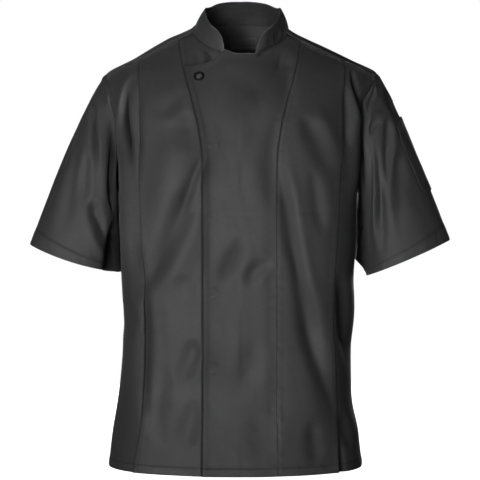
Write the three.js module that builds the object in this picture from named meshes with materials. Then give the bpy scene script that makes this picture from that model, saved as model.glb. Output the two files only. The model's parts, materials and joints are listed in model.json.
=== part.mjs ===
// A short-sleeved chef jacket with a lapped front panel and a stand collar, filled out as if worn.
// Millimetres, +Z up. The front faces -Y and the wearer's left is +X. The origin lies between the
// shoulders, level with the foot of the collar, where the wearer carries the jacket.
import * as THREE from "three";

const cloth = 1.6;
const collarCloth = 2.4;
const seamGap = 0.3;
const lapLift = cloth + 0.5;
const labelLift = 1.8;

// Heights
const hemZ = -728;
const hemRise = 5;
const hemReach = 180;
const underarmZ = -254;
const yokeZ = -90;
const ridgeTopZ = 40;
const shoulderPointZ = -60;
const shoulderPointX = 228;
const neckLowestZ = -140;

// Rows and columns of the walls
const lowRows = 14;
const midRows = 7;
const topRows = 4;
const frontRows = lowRows + midRows + topRows;
const yokeRows = 5;
const strapRows = 2;
const sideColumns = 6;
const frontColumns = 5;
const neckColumns = 10;
const sleeveRows = 11;

// The body's outer surface, a row for each height: how far it reaches from the middle to the
// wearer's right (left), to the wearer's left (right), forward and back.
const sections = [
  { z: -728, left: 221, right: 207, front: 134, back: 130 },
  { z: -670, left: 215, right: 200, front: 135, back: 125 },
  { z: -600, left: 205, right: 189, front: 137, back: 121 },
  { z: -540, left: 198, right: 188, front: 139, back: 119 },
  { z: -480, left: 196, right: 190, front: 142, back: 121 },
  { z: -400, left: 201, right: 193, front: 146, back: 127 },
  { z: -320, left: 204, right: 196, front: 150, back: 133 },
  { z: -250, left: 205, right: 198, front: 149, back: 136 },
  { z: -200, left: 206, right: 201, front: 143, back: 134 },
  { z: -150, left: 211, right: 206, front: 131, back: 130 },
  { z: -110, left: 225, right: 214, front: 117, back: 123 },
  { z: -80, left: 233, right: 236, front: 103, back: 115 },
  { z: -60, left: 229, right: 235, front: 92, back: 109 },
  { z: -53, left: 217, right: 226, front: 87, back: 106 },
  { z: -44, left: 198, right: 203, front: 81, back: 102 },
  { z: -33, left: 176, right: 181, front: 74, back: 98 },
  { z: -20, left: 156, right: 154, front: 65, back: 93 },
  { z: -10, left: 138, right: 133, front: 57, back: 88 },
  { z: 0, left: 121, right: 110, front: 49, back: 83 },
  { z: 7, left: 107, right: 97, front: 43, back: 79 },
  { z: 13, left: 84, right: 84, front: 38, back: 75 },
  { z: 20, left: 78, right: 78, front: 32, back: 71 },
  { z: 30, left: 64, right: 64, front: 26, back: 62 },
  { z: 40, left: 4, right: 4, front: 20, back: 50 },
];
// The shape of those sections: flatter across the front or back and squarer at their corners the
// higher "across" and "round" are.
const corners = [
  { z: -728, across: 3.2, round: 2.3, backAcross: 2.5, backRound: 2.1 },
  { z: -670, across: 3.2, round: 2.3, backAcross: 2.5, backRound: 2.1 },
  { z: -600, across: 3.3, round: 2.3, backAcross: 2.5, backRound: 2.1 },
  { z: -540, across: 3.4, round: 2.4, backAcross: 2.5, backRound: 2.1 },
  { z: -480, across: 3.5, round: 2.4, backAcross: 2.5, backRound: 2.1 },
  { z: -400, across: 3.6, round: 2.5, backAcross: 2.6, backRound: 2.2 },
  { z: -320, across: 3.8, round: 2.5, backAcross: 2.7, backRound: 2.2 },
  { z: -250, across: 3.8, round: 2.6, backAcross: 2.7, backRound: 2.2 },
  { z: -200, across: 3.6, round: 2.6, backAcross: 2.7, backRound: 2.2 },
  { z: -150, across: 3.3, round: 2.4, backAcross: 2.6, backRound: 2.1 },
  { z: -110, across: 2.8, round: 2.0, backAcross: 2.4, backRound: 1.9 },
  { z: -80, across: 2.3, round: 1.6, backAcross: 2.2, backRound: 1.6 },
  { z: -60, across: 2.1, round: 1.45, backAcross: 2.1, backRound: 1.45 },
  { z: -53, across: 2, round: 1.4, backAcross: 2, backRound: 1.4 },
  { z: -44, across: 2, round: 1.35, backAcross: 2, backRound: 1.35 },
  { z: -33, across: 2, round: 1.35, backAcross: 2, backRound: 1.35 },
  { z: -20, across: 2, round: 1.35, backAcross: 2, backRound: 1.35 },
  { z: -10, across: 2, round: 1.35, backAcross: 2, backRound: 1.35 },
  { z: 0, across: 2, round: 1.35, backAcross: 2, backRound: 1.35 },
  { z: 7, across: 2, round: 1.35, backAcross: 2, backRound: 1.4 },
  { z: 13, across: 2, round: 1.35, backAcross: 2.1, backRound: 1.5 },
  { z: 20, across: 2, round: 1.35, backAcross: 2.3, backRound: 1.8 },
  { z: 30, across: 2, round: 1.35, backAcross: 2.6, backRound: 2 },
  { z: 40, across: 2, round: 1.35, backAcross: 2.6, backRound: 2 },
];

// Seams seen from the front, as the distance from the middle at each height.
const sideSeams = [
  { z: -728, left: 164, right: 168 },
  { z: -626, left: 160.5, right: 162 },
  { z: -523, left: 160, right: 155.5 },
  { z: -430, left: 160, right: 155 },
  { z: -330, left: 163, right: 160 },
  { z: -200, left: 166.5, right: 168 },
  { z: -110, left: 168, right: 174 },
  { z: -20, left: 170, right: 176 },
];
const centreSeams = [
  { z: -728, half: 62 },
  { z: -600, half: 60.5 },
  { z: -300, half: 60 },
  { z: -210, half: 60.5 },
  { z: -166, half: 66 },
  { z: -112, half: 78.5 },
  { z: -60, half: 92.5 },
  { z: -14, half: 101 },
];
// The top edge of the lapped panel, from its outer corner to the collar's end.
const flapEdge = [
  { x: -92, z: -58 },
  { x: -66, z: -54.5 },
  { x: -49.5, z: -49.5 },
  { x: -36, z: -40 },
  { x: -26, z: -31 },
];

// Where along its length a fold sets in, is whole, starts to fade and is gone.
const foldEnds = { start: -0.15, whole: 0.2, fading: 0.75, gone: 1.15 };

// Largest folds of the front and back: a trough (or ridge, where depth is negative) from one
// point to another as seen from the front, with its half width and depth.
const folds = [
  { side: "front", x0: -62, z0: -210, x1: -155, z1: -400, width: 13, depth: 6 },
  { side: "front", x0: -95, z0: -190, x1: -150, z1: -290, width: 24, depth: -4 },
  { side: "front", x0: 64, z0: -225, x1: 104, z1: -440, width: 11, depth: 6 },
  { side: "front", x0: 104, z0: -440, x1: 146, z1: -620, width: 12, depth: 5 },
  { side: "front", x0: 106, z0: -145, x1: 148, z1: -230, width: 11, depth: 5 },
  { side: "front", x0: 138, z0: -135, x1: 160, z1: -205, width: 9, depth: -4 },
  { side: "front", x0: 5, z0: -345, x1: -34, z1: -405, width: 10, depth: 4 },
  { side: "front", x0: 44, z0: -378, x1: 14, z1: -425, width: 9, depth: 3.5 },
  { side: "front", x0: -64, z0: -500, x1: -96, z1: -570, width: 12, depth: 3.5 },
  { side: "front", x0: -66, z0: -610, x1: -92, z1: -690, width: 14, depth: 3.5 },
  { side: "front", x0: -184, z0: -75, x1: -188, z1: -185, width: 7, depth: 7 },
  { side: "front", x0: -150, z0: -420, x1: -152, z1: -600, width: 10, depth: 4 },
  { side: "front", x0: 172, z0: -420, x1: 182, z1: -560, width: 9, depth: 6 },
  { side: "back", x0: -40, z0: -170, x1: -70, z1: -640, width: 20, depth: 6 },
  { side: "back", x0: 55, z0: -200, x1: 75, z1: -690, width: 22, depth: 6 },
  { side: "back", x0: -135, z0: -250, x1: -120, z1: -680, width: 20, depth: 5 },
  { side: "back", x0: 140, z0: -270, x1: 128, z1: -600, width: 18, depth: 5 },
];

// Neckline seen from above
const neckHalfWidth = 82;
const neckFrontY = -75;
const neckBackY = 62;
const neckMiddleY = (neckFrontY + neckBackY) / 2;
const neckHalfDepth = (neckBackY - neckFrontY) / 2;
const shoulderSeamDrop = 12;

// Armholes seen from the side
const armhole = {
  middleZ: (shoulderPointZ + underarmZ) / 2,
  half: (shoulderPointZ - underarmZ) / 2,
  front: 44,
  back: 72,
};

// Collar
const collarHeight = 36;
const collarLean = 16;
const collarEndHeight = 17;
const collarCorner = 21;
const collarRows = 4;
const collarFoot = 0.7;
const collarFootLean = 0.55;
const collarForwardLean = 0.75;

// Sleeves: the outer and inner ends of the hem seen from the front, how far the hem hangs lower
// at its front and back, and how far the outer edge bows out.
const sleeves = {
  right: { outer: { x: 357, z: -350 }, inner: { x: 209, z: -397 }, sag: 6, bow: -10 },
  left: { outer: { x: 357, z: -342 }, inner: { x: 216, z: -403 }, sag: 1, bow: -14 },
};
const bendShare = 0.35;
const sleeveCap = 67;
const sleeveSwell = 12;
const sleeveHemY = 6;
const sleeveHemFront = 60;
const sleeveHemBack = 68;
const sleeveClear = 4;
const sleeveRootGap = 0.5;
const sleeveRoot = { meets: 0.02, clears: 0.12 };
const sleeveFolds = [
  { side: "right", turn0: 0.75, along0: 0.16, turn1: 1.35, along1: 0.42, width: 0.13, depth: 6 },
  { side: "right", turn0: 1.1, along0: 0.45, turn1: 1.25, along1: 0.95, width: 0.22, depth: 4 },
  { side: "right", turn0: 1.75, along0: 0.62, turn1: 2.3, along1: 0.85, width: 0.18, depth: 6 },
  { side: "left", turn0: 1.2, along0: 0.2, turn1: 1.15, along1: 0.62, width: 0.12, depth: 6 },
  { side: "left", turn0: 1.75, along0: 0.28, turn1: 1.6, along1: 0.92, width: 0.12, depth: -4 },
  { side: "left", turn0: 0.8, along0: 0.6, turn1: 0.95, along1: 0.98, width: 0.2, depth: 4 },
];

// Pocket on the left sleeve, in rows and columns of the sleeve's wall
const pocketRows = { first: 5, last: 9 };
const pocketColumns = { first: -4, last: 3 };
const pocketLift = cloth + 0.4;
const pocketChamfer = 0.45;

// Stud at the top of the lap. Its outline runs from the middle of its foot round the rim to the
// middle of its dished top.
const studPlace = { x: -67, z: -75 };
const studOutline = [
  { radius: 0, height: 0 },
  { radius: 7.75, height: 0 },
  { radius: 8.75, height: 0.8 },
  { radius: 8.35, height: 2.6 },
  { radius: 7.15, height: 3.2 },
  { radius: 5.55, height: 2.5 },
  { radius: 0, height: 2.3 },
];
const studSides = 24;

const label = { x: 6, z: 0.5, width: 46, height: 18, thickness: 1, rows: 2, columns: 4 };

// Steps over which a surface's direction is measured, and halvings until a crossing is found
const turnStep = 0.02;
const heightStep = 1;
const angleStep = 0.03;
const alongStep = 0.01;
const halvings = 50;
const columnTopStart = -30;
const columnTopTries = 30;

const clamp = (value, low, high) => Math.min(high, Math.max(low, value));
const mix = (a, b, share) => a + (b - a) * share;
const ease = (low, high, value) => {
  const share = clamp((value - low) / (high - low), 0, 1);
  return share * share * (3 - 2 * share);
};

// Reads one column of a table at a height, along a smooth curve that doesn't overshoot its rows.
function read(table, column, at, key = "z") {
  const last = table.length - 1;
  if (at <= table[0][key]) return table[0][column];
  if (at >= table[last][key]) return table[last][column];
  let i = 0;
  while (table[i + 1][key] < at) i++;
  const rise = (k) => (table[k + 1][column] - table[k][column]) / (table[k + 1][key] - table[k][key]);
  const slope = (k) => {
    if (k === 0) return rise(0);
    if (k === last) return rise(last - 1);
    const [before, after] = [rise(k - 1), rise(k)];
    return before * after <= 0 ? 0 : (2 * before * after) / (before + after);
  };
  const step = table[i + 1][key] - table[i][key];
  const t = (at - table[i][key]) / step;
  return (
    table[i][column] * (1 + 2 * t) * (1 - t) ** 2 +
    slope(i) * step * t * (1 - t) ** 2 +
    table[i + 1][column] * t * t * (3 - 2 * t) +
    slope(i + 1) * step * t * t * (t - 1)
  );
}

// The value between low and high at which a falling or rising function crosses zero.
function solve(low, high, gap) {
  const rising = gap(high) > 0;
  for (let k = 0; k < halvings; k++) {
    const middle = (low + high) / 2;
    if (gap(middle) > 0 === rising) high = middle;
    else low = middle;
  }
  return (low + high) / 2;
}

const reach = (z, sign) => read(sections, sign < 0 ? "left" : "right", z);
const depth = (z, face) => read(sections, face, z);
const across = (z, face) => read(corners, face === "front" ? "across" : "backAcross", z);
const round = (z, face) => read(corners, face === "front" ? "round" : "backRound", z);

// Height of the shoulder's ridge at x.
function ridge(x) {
  if (Math.abs(x) >= reach(shoulderPointZ, x)) return shoulderPointZ;
  if (Math.abs(x) <= reach(ridgeTopZ, x)) return ridgeTopZ;
  return solve(shoulderPointZ, ridgeTopZ, (z) => reach(z, x) - Math.abs(x));
}

// The angle round a section, from the wearer's left side (0) over the back (pi / 2) to the
// wearer's right side (pi), and over the front as negative angles.
function turnAt(x, z, face) {
  const share = clamp(Math.abs(x) / reach(z, x), 0, 1) ** (across(z, face) / 2);
  const angle = Math.acos(share);
  const turn = x >= 0 ? angle : Math.PI - angle;
  return face === "front" ? -turn : turn;
}

// The smooth body without its folds.
function smoothBody(turn, z) {
  const [c, s] = [Math.cos(turn), Math.sin(turn)];
  const face = s <= 0 ? "front" : "back";
  return new THREE.Vector3(
    Math.sign(c) * reach(z, c) * Math.abs(c) ** (2 / across(z, face)),
    Math.sign(s) * depth(z, face) * Math.abs(s) ** (2 / round(z, face)),
    z,
  );
}

// The direction out of a surface given as a function of two numbers.
function outward(surface, a, b, stepA, stepB) {
  const along = surface(a + stepA, b).sub(surface(a - stepA, b));
  const up = surface(a, b + stepB).sub(surface(a, b - stepB));
  return along.cross(up).normalize();
}

// How deep the folds are at a point seen from the front, where the wall turns away near a side.
function foldDepth(list, keyA, keyB, a, b, chosen) {
  let total = 0;
  for (const f of list) {
    if (f.side !== chosen) continue;
    const [da, db] = [f[keyA + "1"] - f[keyA + "0"], f[keyB + "1"] - f[keyB + "0"]];
    const [pa, pb] = [a - f[keyA + "0"], b - f[keyB + "0"]];
    const length2 = da * da + db * db;
    const share = (pa * da + pb * db) / length2;
    const off = Math.hypot(pa - share * da, pb - share * db) / f.width;
    const begun = ease(foldEnds.start, foldEnds.whole, share);
    const ends = begun * (1 - ease(foldEnds.fading, foldEnds.gone, share));
    total += f.depth * ends * Math.exp(-off * off);
  }
  return total;
}

function body(turn, z) {
  const point = smoothBody(turn, z);
  const normal = outward(smoothBody, turn, z, turnStep, heightStep);
  const face = Math.sin(turn) <= 0 ? "front" : "back";
  point.addScaledVector(normal, -foldDepth(folds, "x", "z", point.x, point.z, face));
  point.z += hemRise * (point.x / reach(hemZ, point.x)) ** 2 * (1 - ease(hemZ, hemZ + hemReach, z));
  return point;
}

// A vertex of a wall: its place and the way out of the wall there.
function bodyVertex({ turn, z }, lift = 0) {
  const normal = outward(body, turn, z, turnStep, heightStep);
  return { point: body(turn, z).addScaledVector(normal, lift), normal };
}

const onFace = (x, z, face) => ({ turn: turnAt(x, z, face), z });

// The neckline
function neckZ(x, y) {
  const face = y < 0 ? "front" : "back";
  const wide = (z) => {
    const share = Math.abs(x) / reach(z, x);
    if (share >= 1) return -Math.abs(y);
    return depth(z, face) * (1 - share ** across(z, face)) ** (1 / round(z, face)) - Math.abs(y);
  };
  return solve(neckLowestZ, ridgeTopZ, wide);
}
function neckPoint(angle) {
  const x = neckHalfWidth * Math.cos(angle);
  const y = neckMiddleY + neckHalfDepth * Math.sin(angle);
  return { x, y, z: neckZ(x, y), face: y < 0 ? "front" : "back" };
}
// Where the neckline meets the shoulder seam, as an angle forward of the wearer's side.
const neckSeamRange = { from: 0.02, to: 1 };
const neckSeamAngle = solve(neckSeamRange.from, neckSeamRange.to, (a) => {
  const p = neckPoint(-a);
  return p.y > 0 ? -1 : ridge(p.x) - shoulderSeamDrop - p.z;
});
const neckSeam = neckPoint(-neckSeamAngle);
const neckRidgeAngle = Math.asin(-neckMiddleY / neckHalfDepth);
const steps = (from, to, count) => Array.from({ length: count + 1 }, (_, k) => mix(from, to, k / count));

// Stations of the neckline: over the wearer's left shoulder from the ridge to the seam at its
// front, and round the back from ridge to ridge.
const neckStrap = steps(neckRidgeAngle, -neckSeamAngle, strapRows);
const neckBack = steps(neckRidgeAngle, Math.PI - neckRidgeAngle, neckColumns);

function frontTopZ(x) {
  if (Math.abs(x) >= neckSeam.x) return ridge(x) - shoulderSeamDrop;
  return neckPoint(-Math.acos(x / neckHalfWidth)).z;
}

// Armholes
const seamEndZ = ridge(shoulderPointX) - shoulderSeamDrop;
const armholeSeamAngle = Math.acos((seamEndZ - armhole.middleZ) / armhole.half);
const armholeYokeAngle = Math.acos((yokeZ - armhole.middleZ) / armhole.half);

// A point of the armhole, from the shoulder (0) over the front to the underarm (pi) and back up.
function armholePoint(sign, angle) {
  const s = Math.sin(angle);
  const y = -(s > 0 ? armhole.front : armhole.back) * s;
  const z = armhole.middleZ + armhole.half * Math.cos(angle);
  const face = y < 0 ? "front" : "back";
  const swing = Math.asin((Math.abs(y) / depth(z, face)) ** (round(z, face) / 2));
  const turn = (sign > 0 ? swing : Math.PI - swing) * (face === "front" ? -1 : 1);
  const p = smoothBody(turn, z);
  return { x: p.x, y: p.y, z, turn };
}

// The stations round the armhole that the body's panels and the sleeves share.
const armholeFront = steps(Math.PI, armholeSeamAngle, midRows + topRows);
const armholeBack = steps(Math.PI, 2 * Math.PI - armholeYokeAngle, midRows);
const armholeYoke = steps(2 * Math.PI - armholeYokeAngle, 2 * Math.PI, yokeRows);
const armholeStrap = steps(0, armholeSeamAngle, strapRows);

// Rows of the front, from the hem up to a column's own top.
function rowZ(row, top) {
  if (row <= lowRows) return mix(hemZ, underarmZ, row / lowRows);
  if (row <= lowRows + midRows) return mix(underarmZ, yokeZ, (row - lowRows) / midRows);
  return mix(yokeZ, top, (row - lowRows - midRows) / topRows);
}

const sideSeamX = (z, sign) => sign * read(sideSeams, sign < 0 ? "left" : "right", z);
const centreSeamX = (z) => read(centreSeams, "half", z);

// The top of a column that follows a seam.
function columnTop(seamX, topOf = frontTopZ) {
  let z = columnTopStart;
  for (let k = 0; k < columnTopTries; k++) z = topOf(seamX(z));
  return z;
}

// Grids of vertices, as lists of rows
const gridOf = (rows, columns, vertex) =>
  Array.from({ length: rows + 1 }, (_, j) => Array.from({ length: columns + 1 }, (_, i) => vertex(i, j)));

// Moves the outer vertices of a grid a little inward, so that neighbours keep their gap.
function inset(grid, edges, gap = seamGap / 2) {
  const [rows, columns] = [grid.length - 1, grid[0].length - 1];
  const pull = (vertex, inner) => {
    const way = inner.point.clone().sub(vertex.point).normalize();
    return { point: vertex.point.clone().addScaledVector(way, gap), normal: vertex.normal };
  };
  const pulled = grid.map((row) => row.slice());
  for (let j = 0; j <= rows; j++) {
    if (edges.includes("first")) pulled[j][0] = pull(grid[j][0], grid[j][1]);
    if (edges.includes("last")) pulled[j][columns] = pull(grid[j][columns], grid[j][columns - 1]);
  }
  const sides = pulled.map((row) => row.slice());
  for (let i = 0; i <= columns; i++) {
    if (edges.includes("top")) sides[rows][i] = pull(pulled[rows][i], pulled[rows - 1][i]);
  }
  return sides;
}

// Cells that start right of this x are cut in two the one way, the others the other way.
const midline = -1;

// A closed wall whose outer side is made of grids that share vertices. Where round, each grid's
// last column joins its first. Cells are cut in two alike on the wearer's two sides.
function wallGeometry(grids, thickness, round = false) {
  const order = new Map();
  const vertices = [];
  const indexOf = (vertex) => {
    const key = vertex.point.toArray().map((value) => value.toFixed(3)).join();
    if (!order.has(key)) order.set(key, vertices.push(vertex) - 1);
    return order.get(key);
  };
  const faces = [];
  for (const grid of grids) {
    const rows = grid.map((row) => row.map(indexOf));
    if (round) rows.forEach((row) => row.push(row[0]));
    for (let j = 0; j < rows.length - 1; j++)
      for (let i = 0; i < rows[j].length - 1; i++) {
        const [a, b, c, d] = [rows[j][i], rows[j][i + 1], rows[j + 1][i + 1], rows[j + 1][i]];
        if (vertices[a].point.x > midline) faces.push([a, b, c], [a, c, d]);
        else faces.push([a, b, d], [b, c, d]);
      }
  }
  const positions = [];
  for (const offset of [0, -thickness])
    for (const v of vertices) positions.push(...v.point.clone().addScaledVector(v.normal, offset).toArray());
  const edges = new Set(faces.flatMap(([a, b, c]) => [`${a},${b}`, `${b},${c}`, `${c},${a}`]));
  const index = faces.flat();
  const inner = (k) => k + vertices.length;
  for (const [a, b, c] of faces) index.push(inner(a), inner(c), inner(b));
  for (const edge of edges) {
    const [a, b] = edge.split(",").map(Number);
    if (!edges.has(`${b},${a}`)) index.push(b, a, inner(a), b, inner(a), inner(b));
  }
  const geometry = new THREE.BufferGeometry();
  geometry.setAttribute("position", new THREE.Float32BufferAttribute(positions, 3));
  geometry.setIndex(index);
  geometry.computeVertexNormals();
  return geometry;
}

const clothMaterial = new THREE.MeshStandardMaterial({ color: 0x3b3b3c, roughness: 0.82, metalness: 0 });
const labelMaterial = new THREE.MeshStandardMaterial({ color: 0x2c2c2d, roughness: 0.6, metalness: 0 });
const studMaterial = new THREE.MeshStandardMaterial({ color: 0x161617, roughness: 0.25, metalness: 0.6 });

function meshOf(name, geometry, material = clothMaterial) {
  const mesh = new THREE.Mesh(geometry, material);
  mesh.name = name;
  return mesh;
}

// Body panels

// A side panel, from the seam on the front to the side seam and the front of the armhole.
function sidePanel(sign) {
  const side = sign < 0 ? Math.PI : 0;
  const top = columnTop((z) => sideSeamX(z, sign));
  const grid = gridOf(frontRows, sideColumns, (i, j) => {
    const z = rowZ(j, top);
    const inner = onFace(sideSeamX(z, sign), z, "front");
    const outer =
      j <= lowRows ? { turn: -side, z } : armholePoint(sign, armholeFront[j - lowRows]);
    const share = i / sideColumns;
    return bodyVertex({ turn: mix(inner.turn, outer.turn, share), z: mix(inner.z, outer.z, share) });
  });
  return inset(sign > 0 ? grid : grid.map((row) => row.reverse()), ["first", "last", "top"]);
}

// A front panel, from the side panel to the seam beside the middle.
function frontPanel(sign) {
  const grid = gridOf(frontRows, frontColumns, (i, j) => {
    const share = i / frontColumns;
    const seamX = (z) => mix(sign * centreSeamX(z), sideSeamX(z, sign), share);
    const z = rowZ(j, columnTop(seamX));
    return bodyVertex(onFace(seamX(z), z, "front"));
  });
  return inset(sign > 0 ? grid : grid.map((row) => row.reverse()), ["first", "last", "top"]);
}

// Columns of the middle panels, as shares of the distance from the middle to the centre seam.
const neckShare = neckSeam.x / centreSeamX(neckSeam.z);
const neckInner = 0.26;
const neckOuter = 0.52;
const lapShares = [-1, -neckShare, -neckOuter, -neckInner, 0, neckInner, neckOuter, neckShare, 1];
const underlapEnd = 7;
// Behind the lap the underlap ends lower, and beside the collar's left end so does the lap.
const underlapHides = { from: -0.2, drop: 5 };
const lapNeckDrop = 3.4;
// Where the lap comes down from the layer beneath it to its seam
const lapDown = { from: 0.6, to: 0.97 };

// The layer under the lap, joined to the wearer's right front. Its free edge lies behind the lap.
function underlap() {
  const grid = gridOf(frontRows, underlapEnd - 1, (i, j) => {
    const seamX = (z) => lapShares[i] * centreSeamX(z);
    const hidden = lapShares[i] > underlapHides.from ? underlapHides.drop : 0;
    const z = rowZ(j, columnTop(seamX) - hidden);
    return bodyVertex(onFace(seamX(z), z, "front"));
  });
  return inset(grid, ["first"]);
}

function flapTopZ(x) {
  return x < flapEdge[flapEdge.length - 1].x ? read(flapEdge, "z", x, "x") : frontTopZ(x);
}

// The lapped panel. It lies on the layer beneath it and comes down to the left front at its seam.
function lapPanel() {
  const grid = gridOf(frontRows, lapShares.length - 1, (i, j) => {
    const seamX = (z) => lapShares[i] * centreSeamX(z);
    const drop = lapShares[i] >= neckInner && i < lapShares.length - 1 ? lapNeckDrop : 0;
    const z = rowZ(j, columnTop(seamX, flapTopZ) - drop);
    const lift = lapLift * (1 - ease(lapDown.from, lapDown.to, lapShares[i]));
    return bodyVertex(onFace(seamX(z), z, "front"), lift);
  });
  return inset(grid, ["last", "top"]);
}

// Stations along a shoulder seam, from the armhole to the neckline.
function shoulderSeam(sign) {
  const top = columnTop((z) => sideSeamX(z, sign));
  const inner = onFace(sideSeamX(top, sign), top, "front");
  const outer = armholePoint(sign, armholeSeamAngle);
  const side = steps(1, 0, sideColumns).map((share) => ({
    turn: mix(inner.turn, outer.turn, share),
    z: mix(inner.z, outer.z, share),
  }));
  const front = steps(1, 0, frontColumns).map((share) => {
    const seamX = (z) => mix(sign * centreSeamX(z), sideSeamX(z, sign), share);
    const z = columnTop(seamX);
    return onFace(seamX(z), z, "front");
  });
  return [...side, ...front.slice(1), neckPointOn(sign, -neckSeamAngle)];
}

function neckPointOn(sign, angle) {
  const p = neckPoint(angle);
  return onFace(sign * p.x, p.z, p.face);
}

// Near the shoulder a point is given by x and by how far it lies behind (negative) or before
// (positive) the ridge.
const ridgePower = 1.35;
function beforeRidge({ turn, z }) {
  const { x } = smoothBody(turn, z);
  const below = Math.max(0, ridge(x) - z) ** (1 / ridgePower);
  return { x, w: Math.sin(turn) <= 0 ? below : -below };
}
function fromRidge({ x, w }) {
  return onFace(x, ridge(x) - Math.abs(w) ** ridgePower, w > 0 ? "front" : "back");
}

// The strap of the back that comes over a shoulder, from its ridge to the seam at its front.
function shoulderStrap(sign) {
  const seam = shoulderSeam(sign).map(beforeRidge);
  const last = seam.length - 1;
  const crest = seam.map((v, i) => ({ x: i < last ? v.x : sign * neckPoint(neckRidgeAngle).x, w: 0 }));
  return gridOf(strapRows, last, (i, j) => {
    if (i === 0) return armholePoint(sign, armholeStrap[j]);
    if (i === last) return neckPointOn(sign, neckStrap[j]);
    const share = j / strapRows;
    return fromRidge({ x: mix(crest[i].x, seam[i].x, share), w: mix(0, seam[i].w, share) });
  });
}

// The back, up to the ridges of the shoulders, with the strap over each of them.
function backPanel() {
  const straps = [shoulderStrap(1), shoulderStrap(-1)];
  const neck = neckBack.slice(1, -1).map((angle) => neckPointOn(1, angle));
  const top = [...straps[0][0], ...neck, ...straps[1][0].slice().reverse()];
  const columns = top.length - 1;
  const lower = gridOf(lowRows + midRows, columns, (i, j) => {
    const spread = 1 - (2 * i) / columns;
    const z = rowZ(j, 0);
    const sign = spread < 0 ? -1 : 1;
    const atSide = { x: sign * reach(z, sign), z };
    const edge = j <= lowRows ? atSide : armholePoint(sign, armholeBack[j - lowRows]);
    const level = mix(z, edge.z, spread * spread);
    const widest = Math.asin(clamp(Math.abs(edge.x) / reach(edge.z, sign), 0, 1));
    return onFace(reach(level, sign) * Math.sin(spread * widest), level, "back");
  });
  const bottom = lower[lower.length - 1].map(beforeRidge);
  const crest = top.map(beforeRidge);
  const ends = [1, -1].map((sign) => armholeYoke.map((angle) => beforeRidge(armholePoint(sign, angle))));
  const yoke = gridOf(yokeRows, columns, (i, j) => {
    const [u, v] = [i / columns, j / yokeRows];
    const blend = (key) =>
      mix(bottom[i][key], crest[i][key], v) +
      mix(ends[0][j][key], ends[1][j][key], u) -
      mix(mix(bottom[0][key], bottom[columns][key], u), mix(crest[0][key], crest[columns][key], u), v);
    return j === yokeRows ? top[i] : fromRidge({ x: blend("x"), w: blend("w") });
  });
  const vertices = (grid) => grid.map((row) => row.map((v) => bodyVertex(v)));
  const main = inset(vertices([...lower, ...yoke.slice(1)]), ["first", "last"], seamGap);
  const upper = main[main.length - 1];
  const over = straps.map((strap, k) => {
    const grid = inset(vertices(strap), ["first", "top"], seamGap);
    grid[0] = k ? upper.slice(-grid[0].length).reverse() : upper.slice(0, grid[0].length);
    return k ? grid.map((row) => row.slice().reverse()) : grid;
  });
  return [main, ...over];
}

// Collar: from the wearer's right end round the back to the left end. It stands on the
// neckline's own stations, with one more between each two.
function collarGrid() {
  const frontEnds = [neckInner, neckOuter].map((share) => {
    const z = columnTop((at) => share * centreSeamX(at));
    return Math.acos((share * centreSeamX(z)) / neckHalfWidth);
  });
  const leftSide = [...neckStrap.slice(1), ...frontEnds.map((a) => -a).reverse()];
  const rightSide = leftSide.map((a) => Math.PI - a).reverse();
  const angles = [...rightSide, ...neckBack.slice().reverse(), ...leftSide];
  const stations = [];
  angles.forEach((angle, k) => {
    if (k) stations.push({ from: angles[k - 1], to: angle, share: 0.5 });
    stations.push({ from: angle, to: angle, share: 0 });
  });
  const foot = ({ from, to, share }) => {
    const [a, b] = [neckPoint(from), neckPoint(to)];
    return new THREE.Vector3(mix(a.x, b.x, share), mix(a.y, b.y, share), mix(a.z, b.z, share));
  };
  const standing = (station, height) => {
    const angle = mix(station.from, station.to, station.share);
    const inward = new THREE.Vector3(-Math.cos(angle), -Math.sin(angle) * collarForwardLean, 0);
    const share = height / collarHeight;
    const lean = collarLean * share * mix(share, 1, collarFootLean);
    return foot(station).addScaledVector(inward, lean).add(new THREE.Vector3(0, 0, collarFoot + height));
  };
  const feet = stations.map(foot);
  const run = [0];
  for (let k = 1; k < feet.length; k++) run.push(run[k - 1] + feet[k].distanceTo(feet[k - 1]));
  const whole = run[run.length - 1];
  const topOf = (k) => {
    const fromEnd = Math.min(run[k], whole - run[k]);
    const share = clamp(1 - fromEnd / collarCorner, 0, 1);
    return collarEndHeight + (collarHeight - collarEndHeight) * Math.sqrt(1 - share * share);
  };
  const grid = gridOf(collarRows, stations.length - 1, (k, j) => {
    const height = (topOf(k) * j) / collarRows;
    const [before, after] = [Math.max(0, k - 1), Math.min(stations.length - 1, k + 1)];
    const along = standing(stations[after], height).sub(standing(stations[before], height));
    const up = standing(stations[k], height + 1).sub(standing(stations[k], height));
    const normal = along.cross(up).normalize();
    return { point: standing(stations[k], height).addScaledVector(normal, collarCloth / 2), normal };
  });
  return grid;
}

// Sleeves

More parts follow.
